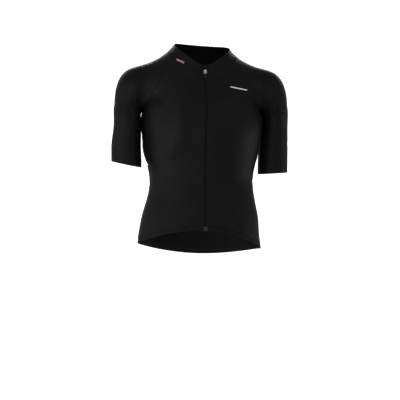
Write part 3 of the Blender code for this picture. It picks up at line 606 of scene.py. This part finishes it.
def gathers_at(points, seams):
    """Small outward gathers along the seams, uneven and fading away from them."""
    lift = np.zeros(len(points))
    for seam, height, wave, reach, seed in seams:
        for number, point in enumerate(points):
            _, nearest, gap = seam.tree.find(point)
            if gap < reach * GATHER_REACH:
                along = seam.lengths[nearest] / wave
                ripple = math.sin(6.28 * along + 1.7 * math.sin(1.9 * along + seed))
                strength = 0.55 + 0.45 * math.sin(0.8 * along + 2 * seed)
                fading = math.exp(-((gap / reach) ** 2))
                lift[number] += height * strength * max(0.0, ripple) * fading
    return lift


def outside_normals(mesh):
    """Each point, and its way out of the garment: its own outside faces', or the nearest ones'."""
    points = np.empty(len(mesh.vertices) * 3)
    mesh.vertices.foreach_get("co", points)
    points = points.reshape(-1, 3)
    summed = np.zeros_like(points)
    for face in mesh.polygons:
        if face.material_index == 0:
            for vert in face.vertices:
                summed[vert] += np.array(face.normal) * face.area
    sizes = np.linalg.norm(summed, axis=1)
    own = np.flatnonzero(sizes > 0)
    summed[own] /= sizes[own, None]
    tree = KDTree(len(own))
    for number in own:
        tree.insert(points[number], int(number))
    tree.balance()
    for number in np.flatnonzero(sizes == 0):
        summed[number] = summed[tree.find(points[number])[1]]
    return points, summed


def settled(obj, seams, on_sleeve=False):
    """Gives a cloth piece its creases and gathers, both walls alike, and rounds its cut edge."""
    mesh = obj.data
    points, normals = outside_normals(mesh)
    lift = creases_at(points, normals, on_sleeve) + gathers_at(points, seams)
    for place, plain, full in KEPT_PLAIN:
        lift *= ease(np.linalg.norm(points - np.array(place), axis=1), plain, full)
    points = points + normals * lift[:, None]
    mesh.vertices.foreach_set("co", points.ravel())
    mesh.update()
    bm = bmesh.new()
    bm.from_mesh(mesh)
    sharp = [
        edge for edge in bm.edges if len({face.material_index for face in edge.link_faces}) > 1
    ]
    edges_rounded(bm, sharp, EDGE_ROUND, material=2)
    for edge in bm.edges:
        edge.smooth = True
    for face in bm.faces:
        face.smooth = True
    bm.to_mesh(mesh)
    bm.free()
    mesh.update()


def wall_tree(obj, wall):
    """One wall of a finished cloth piece, 0 outside and 1 inside, to lay threads and strips on."""
    corners = [vert.co for vert in obj.data.vertices]
    faces = [tuple(face.vertices) for face in obj.data.polygons if face.material_index == wall]
    return BVHTree.FromPolygons(corners, faces)


front_right = cloth_from("front_panel_right", "front_right", KNIT_FINISHES, 2)
front_left = cloth_from("front_panel_left", "front_left", KNIT_FINISHES, 2)


# Back. One piece of the same knit as the fronts, cut longer than they are so that it covers the
# rider's back when bent forward. It takes the rear pockets on its outside.

back = cloth_from("back_panel", "back", KNIT_FINISHES, 2)


# Raglan sleeves. Each is one piece from the collar to a cuff that is cut clean by laser, without a
# turned hem, and closed by one flatlock seam along the underarm.

UNDERARM = -0.14

sleeve_right = cloth_from("sleeve_right_cloth", "sleeve_right", KNIT_FINISHES, 2, UNDERARM)
sleeve_left = cloth_from("sleeve_left_cloth", "sleeve_left", KNIT_FINISHES, 2, UNDERARM)


# Rear pockets. One panel of slightly firmer knit over the lower back, open along its top edge,
# where an elastic is sewn in. Two pairs of stitch rows part it into three pockets.

POCKET_WALE = 0.0012
POCKET_COURSE = 0.0009

pocket_knit = knit_finish(
    "pocket_knit", KNIT_DARK, KNIT_LIGHT, POCKET_WALE, POCKET_COURSE, 0.50, 0.00012, 0.006
)
POCKET_FINISHES = (pocket_knit, knit_inside, knit_edge)
rear_pockets = cloth_from("rear_pocket_panel", "rear_pockets", POCKET_FINISHES, 2)


# Collar. A low band of the knit, folded along its top edge and sewn round the neck, open at the
# zip.

COLLAR_DARK = (0.0030, 0.0030, 0.0036, 1.0)
COLLAR_LIGHT = (0.0055, 0.0055, 0.0062, 1.0)
COLLAR_WALE = 0.0008
COLLAR_COURSE = 0.0007

collar_knit = knit_finish(
    "collar_knit", COLLAR_DARK, COLLAR_LIGHT, COLLAR_WALE, COLLAR_COURSE, 0.48, 0.00009, 0.006
)
collar = cloth_from("band_collar", "collar", (collar_knit, collar_knit, knit_edge), 3)


# Hem bands. Flat woven elastic, ribbed across its width, sewn along the lower edge of the fronts
# and the back to keep the hem from riding up.

BAND_DARK = (0.0028, 0.0028, 0.0034, 1.0)
BAND_LIGHT = (0.0058, 0.0058, 0.0066, 1.0)
BAND_RIB = 0.0016
BAND_WEFT = 0.0008


def ribbed_finish(name, rib, weft, relief):
    """Elastic or tape: ribs in steps across the piece, crossed by finer weft threads."""
    finish = Finish(name, Specular_IOR_Level=0.08, Sheen_Weight=0.005, Sheen_Roughness=0.5)
    across, along = finish.on_cloth()
    ribs = across.maths("SINE", across * (math.tau / rib))
    threads = along.maths("SINE", along * (math.tau / weft))
    cloudy = finish.noise(11.0, 2.0)
    height = ribs * 0.4 + ribs * threads * 0.15 + threads * 0.12 + 0.5
    finish.surface_takes(
        Base_Color=finish.mixed(height * 0.6 + cloudy * 0.3, BAND_DARK, BAND_LIGHT),
        Roughness=0.58 + (cloudy - 0.5) * 0.1 - height * 0.05,
    )
    finish.bumped(height, relief, 0.6)
    return finish.material


band_elastic = ribbed_finish("band_elastic", BAND_RIB, BAND_WEFT, 0.00014)
BAND_FINISHES = (band_elastic, band_elastic, knit_edge)
hem_back = cloth_from("hem_band_back", "hem_back", BAND_FINISHES, 3)
hem_right = cloth_from("hem_band_right", "hem_front_right", BAND_FINISHES, 3)
hem_left = cloth_from("hem_band_left", "hem_front_left", BAND_FINISHES, 3)


# Zip tapes. Narrow woven polyester tape, one along each front's edge and under it, that carries the
# coil on its inner face.

TAPE_RIB = 0.0011
TAPE_WEFT = 0.0007

tape_weave = ribbed_finish("tape_weave", TAPE_RIB, TAPE_WEFT, 0.00010)
TAPE_FINISHES = (tape_weave, tape_weave, tape_weave)
tape_right = cloth_from("tape_right", "zip_tape_right", TAPE_FINISHES, 2)
tape_left = cloth_from("tape_left", "zip_tape_left", TAPE_FINISHES, 2)


# Seams. Flatlock: the edges of two panels lie side by side under rows of flat polyester stitches,
# one row on each panel. The same rows hold the collar, the hem bands, the zip tapes and the
# pockets.

THREAD = 0.00034
PITCH = 0.0031
STITCH = 0.0024
UNEVEN = 0.05
STITCH_LIFT = 0.42
STITCH_SINK = 0.00025
STITCH_BEND = 0.16
SIDE_STEP = 0.004
OFF_EDGE = 0.0008
SEAM_ROW = 0.0017
COLLAR_ROW = 0.0015
ZIP_ROW = 0.0026
ZIP_HALF = 0.006
POCKET_HEM = 0.0085
POCKET_ROW = 0.0022
POCKET_LINES = (-0.052, 0.050)
POCKET_LINE_TOP = -0.30
POCKET_LINE_FOOT = -0.512
POCKET_LINE_STEPS = 24
MOUTH_BEHIND = 0.02
MOUTH_ABOVE = -0.36
BEHIND = 0.4

thread = Finish("thread", Base_Color=(0.0060, 0.0060, 0.0068, 1.0), Specular_IOR_Level=0.12)
strand = thread.noise(2600.0, 1.0, (1, 1, 3))
thread.surface_takes(Roughness=0.42 + strand * 0.2)
thread.bumped(strand, 0.00005, 0.5)

raglans = {
    "front_right": seam_between("front_panel_right", ["sleeve_right_cloth"]),
    "front_left": seam_between("front_panel_left", ["sleeve_left_cloth"]),
    "back_right": seam_between("back_panel", ["sleeve_right_cloth"]),
    "back_left": seam_between("back_panel", ["sleeve_left_cloth"]),
}
sides = {
    "right": seam_between("front_panel_right", ["back_panel"]),
    "left": seam_between("front_panel_left", ["back_panel"]),
}
NECK_PANELS = [
    "front_panel_right",
    "sleeve_right_cloth",
    "back_panel",
    "sleeve_left_cloth",
    "front_panel_left",
]
neck_seam = seam_between("band_collar", NECK_PANELS)
hems = {
    "right": seam_between("front_panel_right", ["hem_band_right"]),
    "left": seam_between("front_panel_left", ["hem_band_left"]),
    "back": seam_between("back_panel", ["hem_band_back"]),
}


def edge_run(piece, wanted):
    """The longest run of a piece's rim whose points are wanted."""
    best = []
    for ring in rims_of[piece]:
        first = next((number for number, point in enumerate(ring) if not wanted(point)), 0)
        run = []
        for point in ring[first:] + ring[:first]:
            run = [*run, point] if wanted(point) else []
            if len(run) > len(best):
                best = run
    return Seam(best)


zip_edges = {
    side: edge_run("front_panel_" + side, lambda point: abs(point.x) < ZIP_HALF)
    for side in ("right", "left")
}
pocket_mouth = edge_run(
    "rear_pocket_panel",
    lambda point: point.y > MOUTH_BEHIND and point.z > MOUTH_ABOVE,
)

# Each seam's gathers: the height, the distance from one to the next and the reach beside the seam,
# in metres, and a number that makes them differ.
gathers = [
    (raglans["front_right"], 0.00028, 0.0140, 0.0050, 1),
    (raglans["front_left"], 0.00028, 0.0130, 0.0050, 2),
    (raglans["back_right"], 0.00035, 0.0150, 0.0055, 3),
    (raglans["back_left"], 0.00035, 0.0140, 0.0055, 4),
    (sides["right"], 0.00030, 0.0160, 0.0055, 5),
    (sides["left"], 0.00030, 0.0150, 0.0055, 6),
    (neck_seam, 0.00022, 0.0120, 0.0040, 7),
    (zip_edges["right"], 0.00030, 0.0170, 0.0050, 8),
    (zip_edges["left"], 0.00030, 0.0160, 0.0050, 9),
    (pocket_mouth, 0.00070, 0.0190, 0.0090, 10),
]
hem_pieces = (hem_back, hem_right, hem_left)
trunk_pieces = (front_right, front_left, back, rear_pockets, collar, *hem_pieces)
sleeves = (sleeve_right, sleeve_left)
tapes = (tape_right, tape_left)
for piece in trunk_pieces:
    settled(piece, gathers)
for piece in tapes:
    settled(piece, [])
for piece in sleeves:
    settled(piece, gathers[:4] + gathers[6:7], on_sleeve=True)

outer_walls = {piece.name: wall_tree(piece, 0) for piece in (*trunk_pieces, *tapes, *sleeves)}
inner_walls = {piece.name: wall_tree(piece, 1) for piece in (*trunk_pieces, *sleeves)}


def nearest_on(walls, names, point):
    """The nearest spot on the named pieces: its place, its normal, its face and how far it is."""
    return min((walls[name].find_nearest(point) for name in names), key=lambda hit: hit[3])


def wire(name, thickness, roundness, finish):
    """An empty curve of round thread or monofilament."""
    curve = bpy.data.curves.new(name, "CURVE")
    curve.dimensions, curve.use_fill_caps = "3D", True
    curve.bevel_depth, curve.bevel_resolution = thickness / 2, roundness
    curve.materials.append(finish.material)
    return curve


def stitched(name, rows):
    """Rows of stitches, each (line, cloth pieces, distance from the line, side of the line).

    The side is 1 or -1, or 0 for the side on which those pieces lie. Each stitch is a short thread
    that comes up through the cloth, lies on it and goes down again."""
    curve = wire(name, THREAD, 1, thread)
    chance = random.Random(name)
    for line, names, distance, side in rows:
        count = max(int(line.length / PITCH), 1)
        for number in range(count):
            length = (number + 0.5 + chance.uniform(-UNEVEN, UNEVEN)) * line.length / count
            heading = line.heading(length)
            spot, normal, _, _ = nearest_on(outer_walls, names, line.at(length))
            across = heading.cross(normal).normalized()
            towards = side
            if side == 0:
                gaps = [
                    nearest_on(outer_walls, names, spot + across * step)[3]
                    for step in (SIDE_STEP, -SIDE_STEP)
                ]
                towards = 1 if gaps[0] < gaps[1] else -1
            aim = spot + across * towards * distance
            spot, normal, _, gap = nearest_on(outer_walls, names, aim)
            if gap > OFF_EDGE:
                continue
            half = heading * STITCH * chance.uniform(0.46, 0.54)
            above, below = normal * THREAD * STITCH_LIFT, normal * -STITCH_SINK
            ends = []
            for end in (spot - half, spot + half):
                place = nearest_on(outer_walls, names, end)[0]
                ends.append((place + below, place + (spot - place) * STITCH_BEND + above))
            spline = curve.splines.new("POLY")
            spline.points.add(3)
            for point, place in zip(spline.points, (*ends[0], *reversed(ends[1]))):
                point.co = (*place, 1.0)
    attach(shown(name, curve), "garment")


def both_sides(line, first, second):
    """The two rows of a flatlock seam, one on each of its panels."""
    return [(line, [first], SEAM_ROW, 0), (line, [second], SEAM_ROW, 0)]


for side in ("right", "left"):
    sleeve = f"sleeve_{side}_cloth"
    stitched(
        "stitches_raglan_" + side,
        both_sides(raglans["front_" + side], "front_panel_" + side, sleeve)
        + both_sides(raglans["back_" + side], "back_panel", sleeve),
    )
stitched(
    "stitches_sides",
    both_sides(sides["right"], "front_panel_right", "back_panel")
    + both_sides(sides["left"], "front_panel_left", "back_panel"),
)
stitched(
    "stitches_hem",
    both_sides(hems["right"], "front_panel_right", "hem_band_right")
    + both_sides(hems["left"], "front_panel_left", "hem_band_left")
    + both_sides(hems["back"], "back_panel", "hem_band_back"),
)
stitched(
    "stitches_neck",
    [(neck_seam, NECK_PANELS, SEAM_ROW, 0), (neck_seam, ["band_collar"], COLLAR_ROW, 0)],
)
stitched(
    "stitches_zip",
    [(zip_edges[side], ["front_panel_" + side], ZIP_ROW, 0) for side in ("right", "left")],
)
pocket_rows = [(pocket_mouth, ["rear_pocket_panel"], POCKET_HEM, 0)]
for across in POCKET_LINES:
    starts = [
        Vector((across, BEHIND, drop))
        for drop in np.linspace(POCKET_LINE_TOP, POCKET_LINE_FOOT, POCKET_LINE_STEPS)
    ]
    panel = outer_walls["rear_pocket_panel"]
    hits = [panel.ray_cast(start, Vector((0, -1, 0)))[0] for start in starts]
    line = Seam([hit for hit in hits if hit])
    for side in (1, -1):
        pocket_rows.append((line, ["rear_pocket_panel"], POCKET_ROW, side))
stitched("stitches_pockets", pocket_rows)


# Looper threads. On the inside of a flatlock seam the looper's threads run to and fro between the
# needle rows, as a flat dense ladder over the join.

LADDER_HALF = 0.0021
LADDER_LIFT = 0.00032
LADDER_GAP = 0.00004
LADDER_STEP = 0.004
LADDER_RUNG = 0.0008
LADDER_END = 0.002
LADDER_INWARD = 0.0012
LADDER_EDGE = math.radians(50)
LOOPER_DARK = (0.0028, 0.0028, 0.0033, 1.0)
LOOPER_LIGHT = (0.0070, 0.0070, 0.0078, 1.0)

looper = Finish("looper_thread", Specular_IOR_Level=0.12)
ladder_across, ladder_along = looper.on_cloth()
rung = ladder_along * (math.tau / LADDER_RUNG) + ladder_across * (math.pi / LADDER_HALF)
rung = rung.maths("SINE", rung)
looper.surface_takes(
    Base_Color=looper.mixed(rung * 0.5 + 0.5, LOOPER_DARK, LOOPER_LIGHT),
    Roughness=0.60 - rung * 0.08,
)
looper.bumped(rung, 0.00012, 0.7)


def laddered(name, line, first, second):
    """The ladder of threads over the inside of a seam, one side on each panel."""
    both = [*first, *second]
    bm = bmesh.new()
    steps = max(int(line.length / LADDER_STEP), 4)
    bmesh.ops.create_grid(bm, x_segments=2, y_segments=steps, size=0.5)
    middle, heading = line.at(line.length / 2), line.heading(line.length / 2)
    across = heading.cross(nearest_on(outer_walls, first, middle)[1]).normalized()
    gaps = [
        nearest_on(outer_walls, first, middle + across * step)[3]
        for step in (SIDE_STEP, -SIDE_STEP)
    ]
    side = 1 if gaps[0] < gaps[1] else -1
    flat = bm.verts.layers.float_vector.new("flat")
    for vert in bm.verts:
        vert[flat] = (vert.co.x * 2 * LADDER_HALF, vert.co.y * line.length, 0.0)
        share = vert.co.x * 2
        length = (vert.co.y + 0.5) * line.length
        length = min(max(length, LADDER_END), line.length - LADDER_END)
        middle, heading = line.at(length), line.heading(length)
        upright = nearest_on(outer_walls, both, middle)[1]
        across = heading.cross(upright).normalized() * side
        names = first if share > 0.5 else second if share < -0.5 else both
        aim = middle - upright * LADDER_INWARD + across * LADDER_HALF * share
        spot, inward, _, _ = nearest_on(inner_walls, names, aim)
        vert.co = spot + inward * LADDER_LIFT
    grown = bmesh.ops.extrude_face_region(bm, geom=bm.faces[:], use_keep_orig=True)["geom"]
    for vert in grown:
        if isinstance(vert, bmesh.types.BMVert):
            inward = nearest_on(inner_walls, both, vert.co)[1]
            vert.co -= inward * (LADDER_LIFT - LADDER_GAP)
    bmesh.ops.recalc_face_normals(bm, faces=bm.faces)
    bm.verts.index_update()
    numbers = {face: [vert.index for vert in face.verts] for face in bm.faces}
    bm.faces.sort(key=lambda face: min(numbers[face]) * len(bm.verts) + max(numbers[face]))
    layer = bm.loops.layers.uv.new("cloth")
    for face in bm.faces:
        for loop in face.loops:
            loop[layer].uv = loop.vert[flat].xy
    bm.verts.layers.float_vector.remove(flat)
    mesh = built(name, bm)
    mesh.set_sharp_from_angle(angle=LADDER_EDGE)
    mesh.materials.append(looper.material)
    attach(shown(name, mesh), "garment")


for name, line, first, second in (
    ("front_right", raglans["front_right"], ["front_panel_right"], ["sleeve_right_cloth"]),
    ("front_left", raglans["front_left"], ["front_panel_left"], ["sleeve_left_cloth"]),
    ("back_right", raglans["back_right"], ["back_panel"], ["sleeve_right_cloth"]),
    ("back_left", raglans["back_left"], ["back_panel"], ["sleeve_left_cloth"]),
    ("side_right", sides["right"], ["front_panel_right"], ["back_panel"]),
    ("side_left", sides["left"], ["front_panel_left"], ["back_panel"]),
    ("neck", neck_seam, NECK_PANELS, ["band_collar"]),
    ("hem_right", hems["right"], ["front_panel_right"], ["hem_band_right"]),
    ("hem_left", hems["left"], ["front_panel_left"], ["hem_band_left"]),
    ("hem_back", hems["back"], ["back_panel"], ["hem_band_back"]),
):
    laddered("looper_" + name, line, first, second)


# Zip coil. Two rows of teeth, each one nylon monofilament wound into flattened turns and sewn to
# the inner face of its tape. The turns of one row lie between the other's.

COIL_PITCH = 0.00130
COIL_WIRE = 0.00052
COIL_CENTRE = 0.00075
COIL_REACH = 0.00115
COIL_STEPS = 10
COIL_END = 0.0015
COIL_LEVELS = 160
COIL_UNDER = 0.00010
COIL_FLATTEST = 0.0002
AHEAD_OF_ZIP = -0.3

nylon = Finish("nylon", Base_Color=(0.022, 0.022, 0.025, 1.0), Specular_IOR_Level=0.5)
nylon.surface_takes(Roughness=0.34 + nylon.noise(500.0) * 0.12)

coil_mesh = nodes["zip_coil"].data
coil_strip = BVHTree.FromPolygons(
    [vert.co for vert in coil_mesh.vertices],
    [tuple(face.vertices) for face in coil_mesh.polygons],
)
coil_low, coil_high = (corner[2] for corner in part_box("zip_coil"))
coil_levels = np.linspace(coil_low + COIL_END, coil_high - COIL_END, COIL_LEVELS)
coil_middles, coil_halves = [], []
for level in coil_levels:
    front = coil_strip.ray_cast(Vector((0.0, AHEAD_OF_ZIP, level)), Vector((0, 1, 0)))[0].y
    rear = coil_strip.ray_cast(Vector((0.0, 0.0, level)), Vector((0, -1, 0)))[0].y
    coil_middles.append((front + rear) / 2)
    coil_halves.append((rear - front) / 2)
coil_half = max(min(coil_halves) - COIL_UNDER - COIL_WIRE / 2, COIL_FLATTEST)
turns = int((coil_levels[-1] - coil_levels[0]) / COIL_PITCH) - 1
for row, side in (("right", -1), ("left", 1)):
    curve = wire("coil_" + row, COIL_WIRE, 0, nylon)
    spline = curve.splines.new("POLY")
    spline.points.add(turns * COIL_STEPS)
    for number, point in enumerate(spline.points):
        angle = 2 * math.pi * number / COIL_STEPS
        level = coil_levels[0] + (number / COIL_STEPS + (0.75 + side * 0.25)) * COIL_PITCH
        middle = float(np.interp(level, coil_levels, coil_middles))
        across = side * (COIL_CENTRE + COIL_REACH * math.cos(angle))
        point.co = (across, middle + coil_half * math.sin(angle), level, 1.0)
    coil = shown("coil_" + row, curve)
    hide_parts("zip_coil")
    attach(coil, "garment")


# Zip slider. Die-cast zinc with a satin silver plating: two wings round the tapes and coil, and a
# post on the front that carries the pull tab's pin.

MERGE_HARD = 1e-5
FLAT_ANGLE = math.radians(2)
SHARP_ANGLE = math.radians(35)
SMOOTH_ANGLE = math.radians(30)


def hard_copy(name, node, body, material, rounding):
    """A small part's solid with its sharp edges rounded."""
    bm = bmesh.new()
    bm.from_mesh(nodes[node].data)
    bmesh.ops.remove_doubles(bm, verts=bm.verts, dist=MERGE_HARD)
    bmesh.ops.dissolve_limit(bm, angle_limit=FLAT_ANGLE, verts=bm.verts, edges=bm.edges)
    sharp = [edge for edge in bm.edges if edge.calc_face_angle(0.0) > SHARP_ANGLE]
    edges_rounded(bm, sharp, rounding)
    bmesh.ops.triangulate(bm, faces=bm.faces)
    mesh = built(name, bm)
    mesh.set_sharp_from_angle(angle=SMOOTH_ANGLE)
    mesh.materials.append(material)
    obj = shown(name, mesh)
    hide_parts(node)
    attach(obj, body)


plating = Finish("satin_plating", Base_Color=(0.70, 0.70, 0.71, 1.0), Metallic=1.0)
plating.surface_takes(Roughness=0.26 + plating.noise(900.0, 3.0) * 0.14)
plating.bumped(plating.noise(1500.0), 0.00003, 0.3)
hard_copy("slider_body", "zip_slider", "garment", plating.material, 0.00012)


# Pull tab. Moulded black rubber on the slider's pin, plain, with rounded edges.

rubber = Finish("moulded_rubber", Base_Color=(0.008, 0.008, 0.009, 1.0), Specular_IOR_Level=0.25)
rubber.surface_takes(Roughness=0.54 + rubber.noise(700.0, 3.0) * 0.16)
rubber.bumped(rubber.noise(2200.0), 0.00004, 0.4)
hard_copy("pull_tab_moulding", "zip_pull", "pull_tab", rubber.material, 0.00018)


# Bottom box. Moulded nylon cast on to the ends of both tapes, which keeps the coil together there.

box_nylon = Finish("box_nylon", Base_Color=(0.010, 0.010, 0.011, 1.0), Specular_IOR_Level=0.30)
box_nylon.surface_takes(Roughness=0.36 + box_nylon.noise(900.0, 3.0) * 0.16)
hard_copy("box_moulding", "zip_box", "garment", box_nylon.material, 0.00025)


# Zip garage. A small folded tab of the collar's knit at the top of the zip, which keeps the slider
# off the skin.

hard_copy("garage_tab", "zip_garage", "garment", collar_knit, 0.00020)


# Chest strip and collar tab, in place of the marks on the real one, and plain. The strip is
# silver-white reflective film bonded by heat; the tab is a rose ribbon sewn down at both ends.

TURN = math.radians(-6)
CAMERA_AWAY = 3.6
CAMERA_SIDE = -0.0039
CAMERA_HEIGHT = -0.3848
LENS = 124.6
FILM = 36.0
PHOTO = 400
STRIP_LENGTHWISE = 24
STRIP_ACROSS = 4
STRIP_END = 0.30
STRIP_NARROWEST = 0.72
STRIP_SINK = 0.0001
STRIP_EDGE = 0.4
STRIP_THICK = 0.00030
TAB_THICK = 0.00055

ahead = Vector((-math.sin(TURN), math.cos(TURN), 0.0))
rightward = Vector((math.cos(TURN), math.sin(TURN), 0.0))
eye = rightward * CAMERA_SIDE - ahead * CAMERA_AWAY + Vector((0.0, 0.0, CAMERA_HEIGHT))


def line_of_sight(px, py):
    """The camera's direction through a pixel of the photograph."""
    scale = FILM / LENS / PHOTO
    towards = ahead + rightward * (px - PHOTO / 2) * scale
    return (towards + Vector((0, 0, 1)) * (PHOTO / 2 - py) * scale).normalized()


def laid_on(name, names, centre, size, turn, thick, finish):
    """A thin strip laid on the cloth, its middle and its sizes in the photograph's pixels.

    It bends smoothly, so it bridges the join and the stitches that it crosses."""
    bm = bmesh.new()
    bmesh.ops.create_grid(bm, x_segments=STRIP_LENGTHWISE, y_segments=STRIP_ACROSS, size=0.5)
    verts = bm.verts[:]
    sights, terms, reached = [], [], []
    for vert in verts:
        across, up = vert.co.x * size[0], vert.co.y * size[1]
        corner = min(1.0, (0.5 - abs(vert.co.x)) * size[0] / (STRIP_END * size[1]))
        rounding = math.sqrt(corner * (2 - corner))
        up *= STRIP_NARROWEST + (1 - STRIP_NARROWEST) * rounding
        px = centre[0] + across * math.cos(turn) + up * math.sin(turn)
        py = centre[1] + across * math.sin(turn) - up * math.cos(turn)
        sights.append(line_of_sight(px, py))
        hits = [outer_walls[cloth].ray_cast(eye, sights[-1])[3] for cloth in names]
        reached.append(min((hit for hit in hits if hit is not None), default=math.nan))
        across, up = vert.co.x, vert.co.y
        terms.append((1.0, across, up, across**2, across * up, across**3))
    terms, reached = np.array(terms), np.array(reached)
    known = ~np.isnan(reached)
    weights = np.linalg.lstsq(terms[known], reached[known], rcond=None)[0]
    smooth = terms @ weights
    smooth = smooth - max(0.0, float(np.max(smooth[known] - reached[known]))) - thick
    for vert, sight, away in zip(verts, sights, smooth):
        vert.co = eye + sight * float(away)
    bmesh.ops.recalc_face_normals(bm, faces=bm.faces)
    if sum(face.normal.dot(ahead) for face in bm.faces) > 0:
        bmesh.ops.reverse_faces(bm, faces=bm.faces)
    bmesh.ops.solidify(bm, geom=bm.faces[:], thickness=thick + STRIP_SINK)
    rim = [edge for edge in bm.edges if edge.calc_face_angle(0.0) > RIM_ANGLE]
    edges_rounded(bm, rim, thick * STRIP_EDGE)
    mesh = built(name, bm)
    mesh.materials.append(finish.material)
    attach(shown(name, mesh), "garment")


film = Finish("reflective_film", Specular_IOR_Level=0.5)
grain = film.noise(1800.0)
film.surface_takes(
    Base_Color=film.mixed(grain, (0.55, 0.55, 0.56, 1.0), (0.72, 0.72, 0.72, 1.0)),
    Roughness=0.34 + grain * 0.18,
)
laid_on(
    "chest_strip",
    ["front_panel_left"],
    (238.7, 88.4),
    (17.2, 1.15),
    math.radians(11.5),
    STRIP_THICK,
    film,
)

ribbon = Finish("rose_ribbon", Specular_IOR_Level=0.3, Sheen_Weight=0.15, Sheen_Roughness=0.4)
weft = ribbon.noise(2400.0, 1.0, (1.0, 1.0, 4.0))
ribbon.surface_takes(
    Base_Color=ribbon.mixed(weft, (0.34, 0.10, 0.10, 1.0), (0.50, 0.17, 0.17, 1.0)),
    Roughness=0.5 + weft * 0.2,
)
ribbon.bumped(weft, 0.00010, 0.6)
laid_on(
    "collar_tab",
    ["front_panel_right", "band_collar", "sleeve_right_cloth"],
    (180.3, 60.9),
    (8.6, 1.7),
    math.radians(25),
    TAB_THICK,
    ribbon,
)


# Studio, light and camera. A round studio, evenly lit, whose pale floor curves up into its wall.
# Soft lamps stand low and high on both sides and behind, stronger on the photograph's left, and the
# surroundings are dim.

STUDIO_RADIUS = 6.0
STUDIO_BEND = 1.2
STUDIO_WALL = 3.4
STUDIO_SIDES = 64
BEND_STEPS = 12
FLOOR_LEVEL = -1.38
LAMP_WIDTH = 1.2
LAMP_HEIGHT = 0.6
LAMPS_AIM = Vector((0.0, 0.0, -0.30))
LAMPS = (
    ("left_low", (-2.08, -0.97, -1.0), 19.0),
    ("left_high", (-1.54, -1.84, 0.7), 14.0),
    ("left_side", (-2.35, 0.0, 0.1), 6.0),
    ("front_low", (-0.60, -2.22, -1.0), 10.0),
    ("right_low", (2.30, 0.0, -0.9), 12.0),
    ("right_high", (1.54, -1.84, 0.7), 9.5),
    ("back_high", (0.24, 2.30, 1.3), 26.0),
    ("back_left", (-0.80, 2.15, 1.0), 9.0),
    ("back_right", (1.15, 2.00, 0.8), 9.0),
)
SURROUNDINGS = 0.35
FARTHEST_SEEN = 30.0

studio_paint = Finish("studio_paint", Specular_IOR_Level=0.0, Emission_Strength=1.0)
studio_paint.surface_takes(
    Base_Color=(0.93, 0.93, 0.93, 1.0),
    Emission_Color=(1.0, 1.0, 1.0, 1.0),
    Roughness=0.7 + studio_paint.noise(3.0) * 0.1,
)

bm = bmesh.new()
radius, level = STUDIO_RADIUS - STUDIO_BEND, 0.0
bmesh.ops.create_circle(bm, cap_ends=True, radius=radius, segments=STUDIO_SIDES)
bmesh.ops.translate(bm, verts=bm.verts, vec=(0.0, 0.0, FLOOR_LEVEL))
if bm.faces[:][0].normal.z < 0:
    bmesh.ops.reverse_faces(bm, faces=bm.faces)
rim = bm.edges[:]
rises = [math.pi / 2 * step / BEND_STEPS for step in range(1, BEND_STEPS + 1)]
rings = [
    (STUDIO_RADIUS - STUDIO_BEND * (1 - math.sin(rise)), STUDIO_BEND * (1 - math.cos(rise)))
    for rise in rises
]
for wider, higher in (*rings, (STUDIO_RADIUS, STUDIO_BEND + STUDIO_WALL)):
    drawn_out = bmesh.ops.extrude_edge_only(bm, edges=rim)["geom"]
    moved = [item for item in drawn_out if isinstance(item, bmesh.types.BMVert)]
    rim = [item for item in drawn_out if isinstance(item, bmesh.types.BMEdge)]
    bmesh.ops.scale(bm, verts=moved, vec=(wider / radius, wider / radius, 1.0))
    bmesh.ops.translate(bm, verts=moved, vec=(0.0, 0.0, higher - level))
    radius, level = wider, higher
mesh = built("studio", bm)
mesh.materials.append(studio_paint.material)
studio = shown("studio", mesh)
studio.visible_diffuse = studio.visible_glossy = False

for name, place, power in LAMPS:
    lamp = bpy.data.lights.new(name, "AREA")
    lamp.shape, lamp.size, lamp.size_y, lamp.energy = "RECTANGLE", LAMP_WIDTH, LAMP_HEIGHT, power
    light = shown(name, lamp)
    light.location = place
    light.rotation_euler = (LAMPS_AIM - Vector(place)).to_track_quat("-Z", "Y").to_euler()

world = bpy.data.worlds.new("dim_surroundings")
world.use_nodes = True
background = world.node_tree.nodes["Background"]
background.inputs["Color"].default_value = (1.0, 1.0, 1.0, 1.0)
background.inputs["Strength"].default_value = SURROUNDINGS
bpy.context.scene.world = world
bpy.context.scene.view_settings.view_transform = "Standard"

lens = bpy.data.cameras.new("photo_camera")
lens.lens, lens.sensor_width, lens.clip_end = LENS, FILM, FARTHEST_SEEN
camera = shown("photo_camera", lens)
camera.location = eye
camera.rotation_euler = (math.pi / 2, 0.0, TURN)
bpy.context.scene.camera = camera
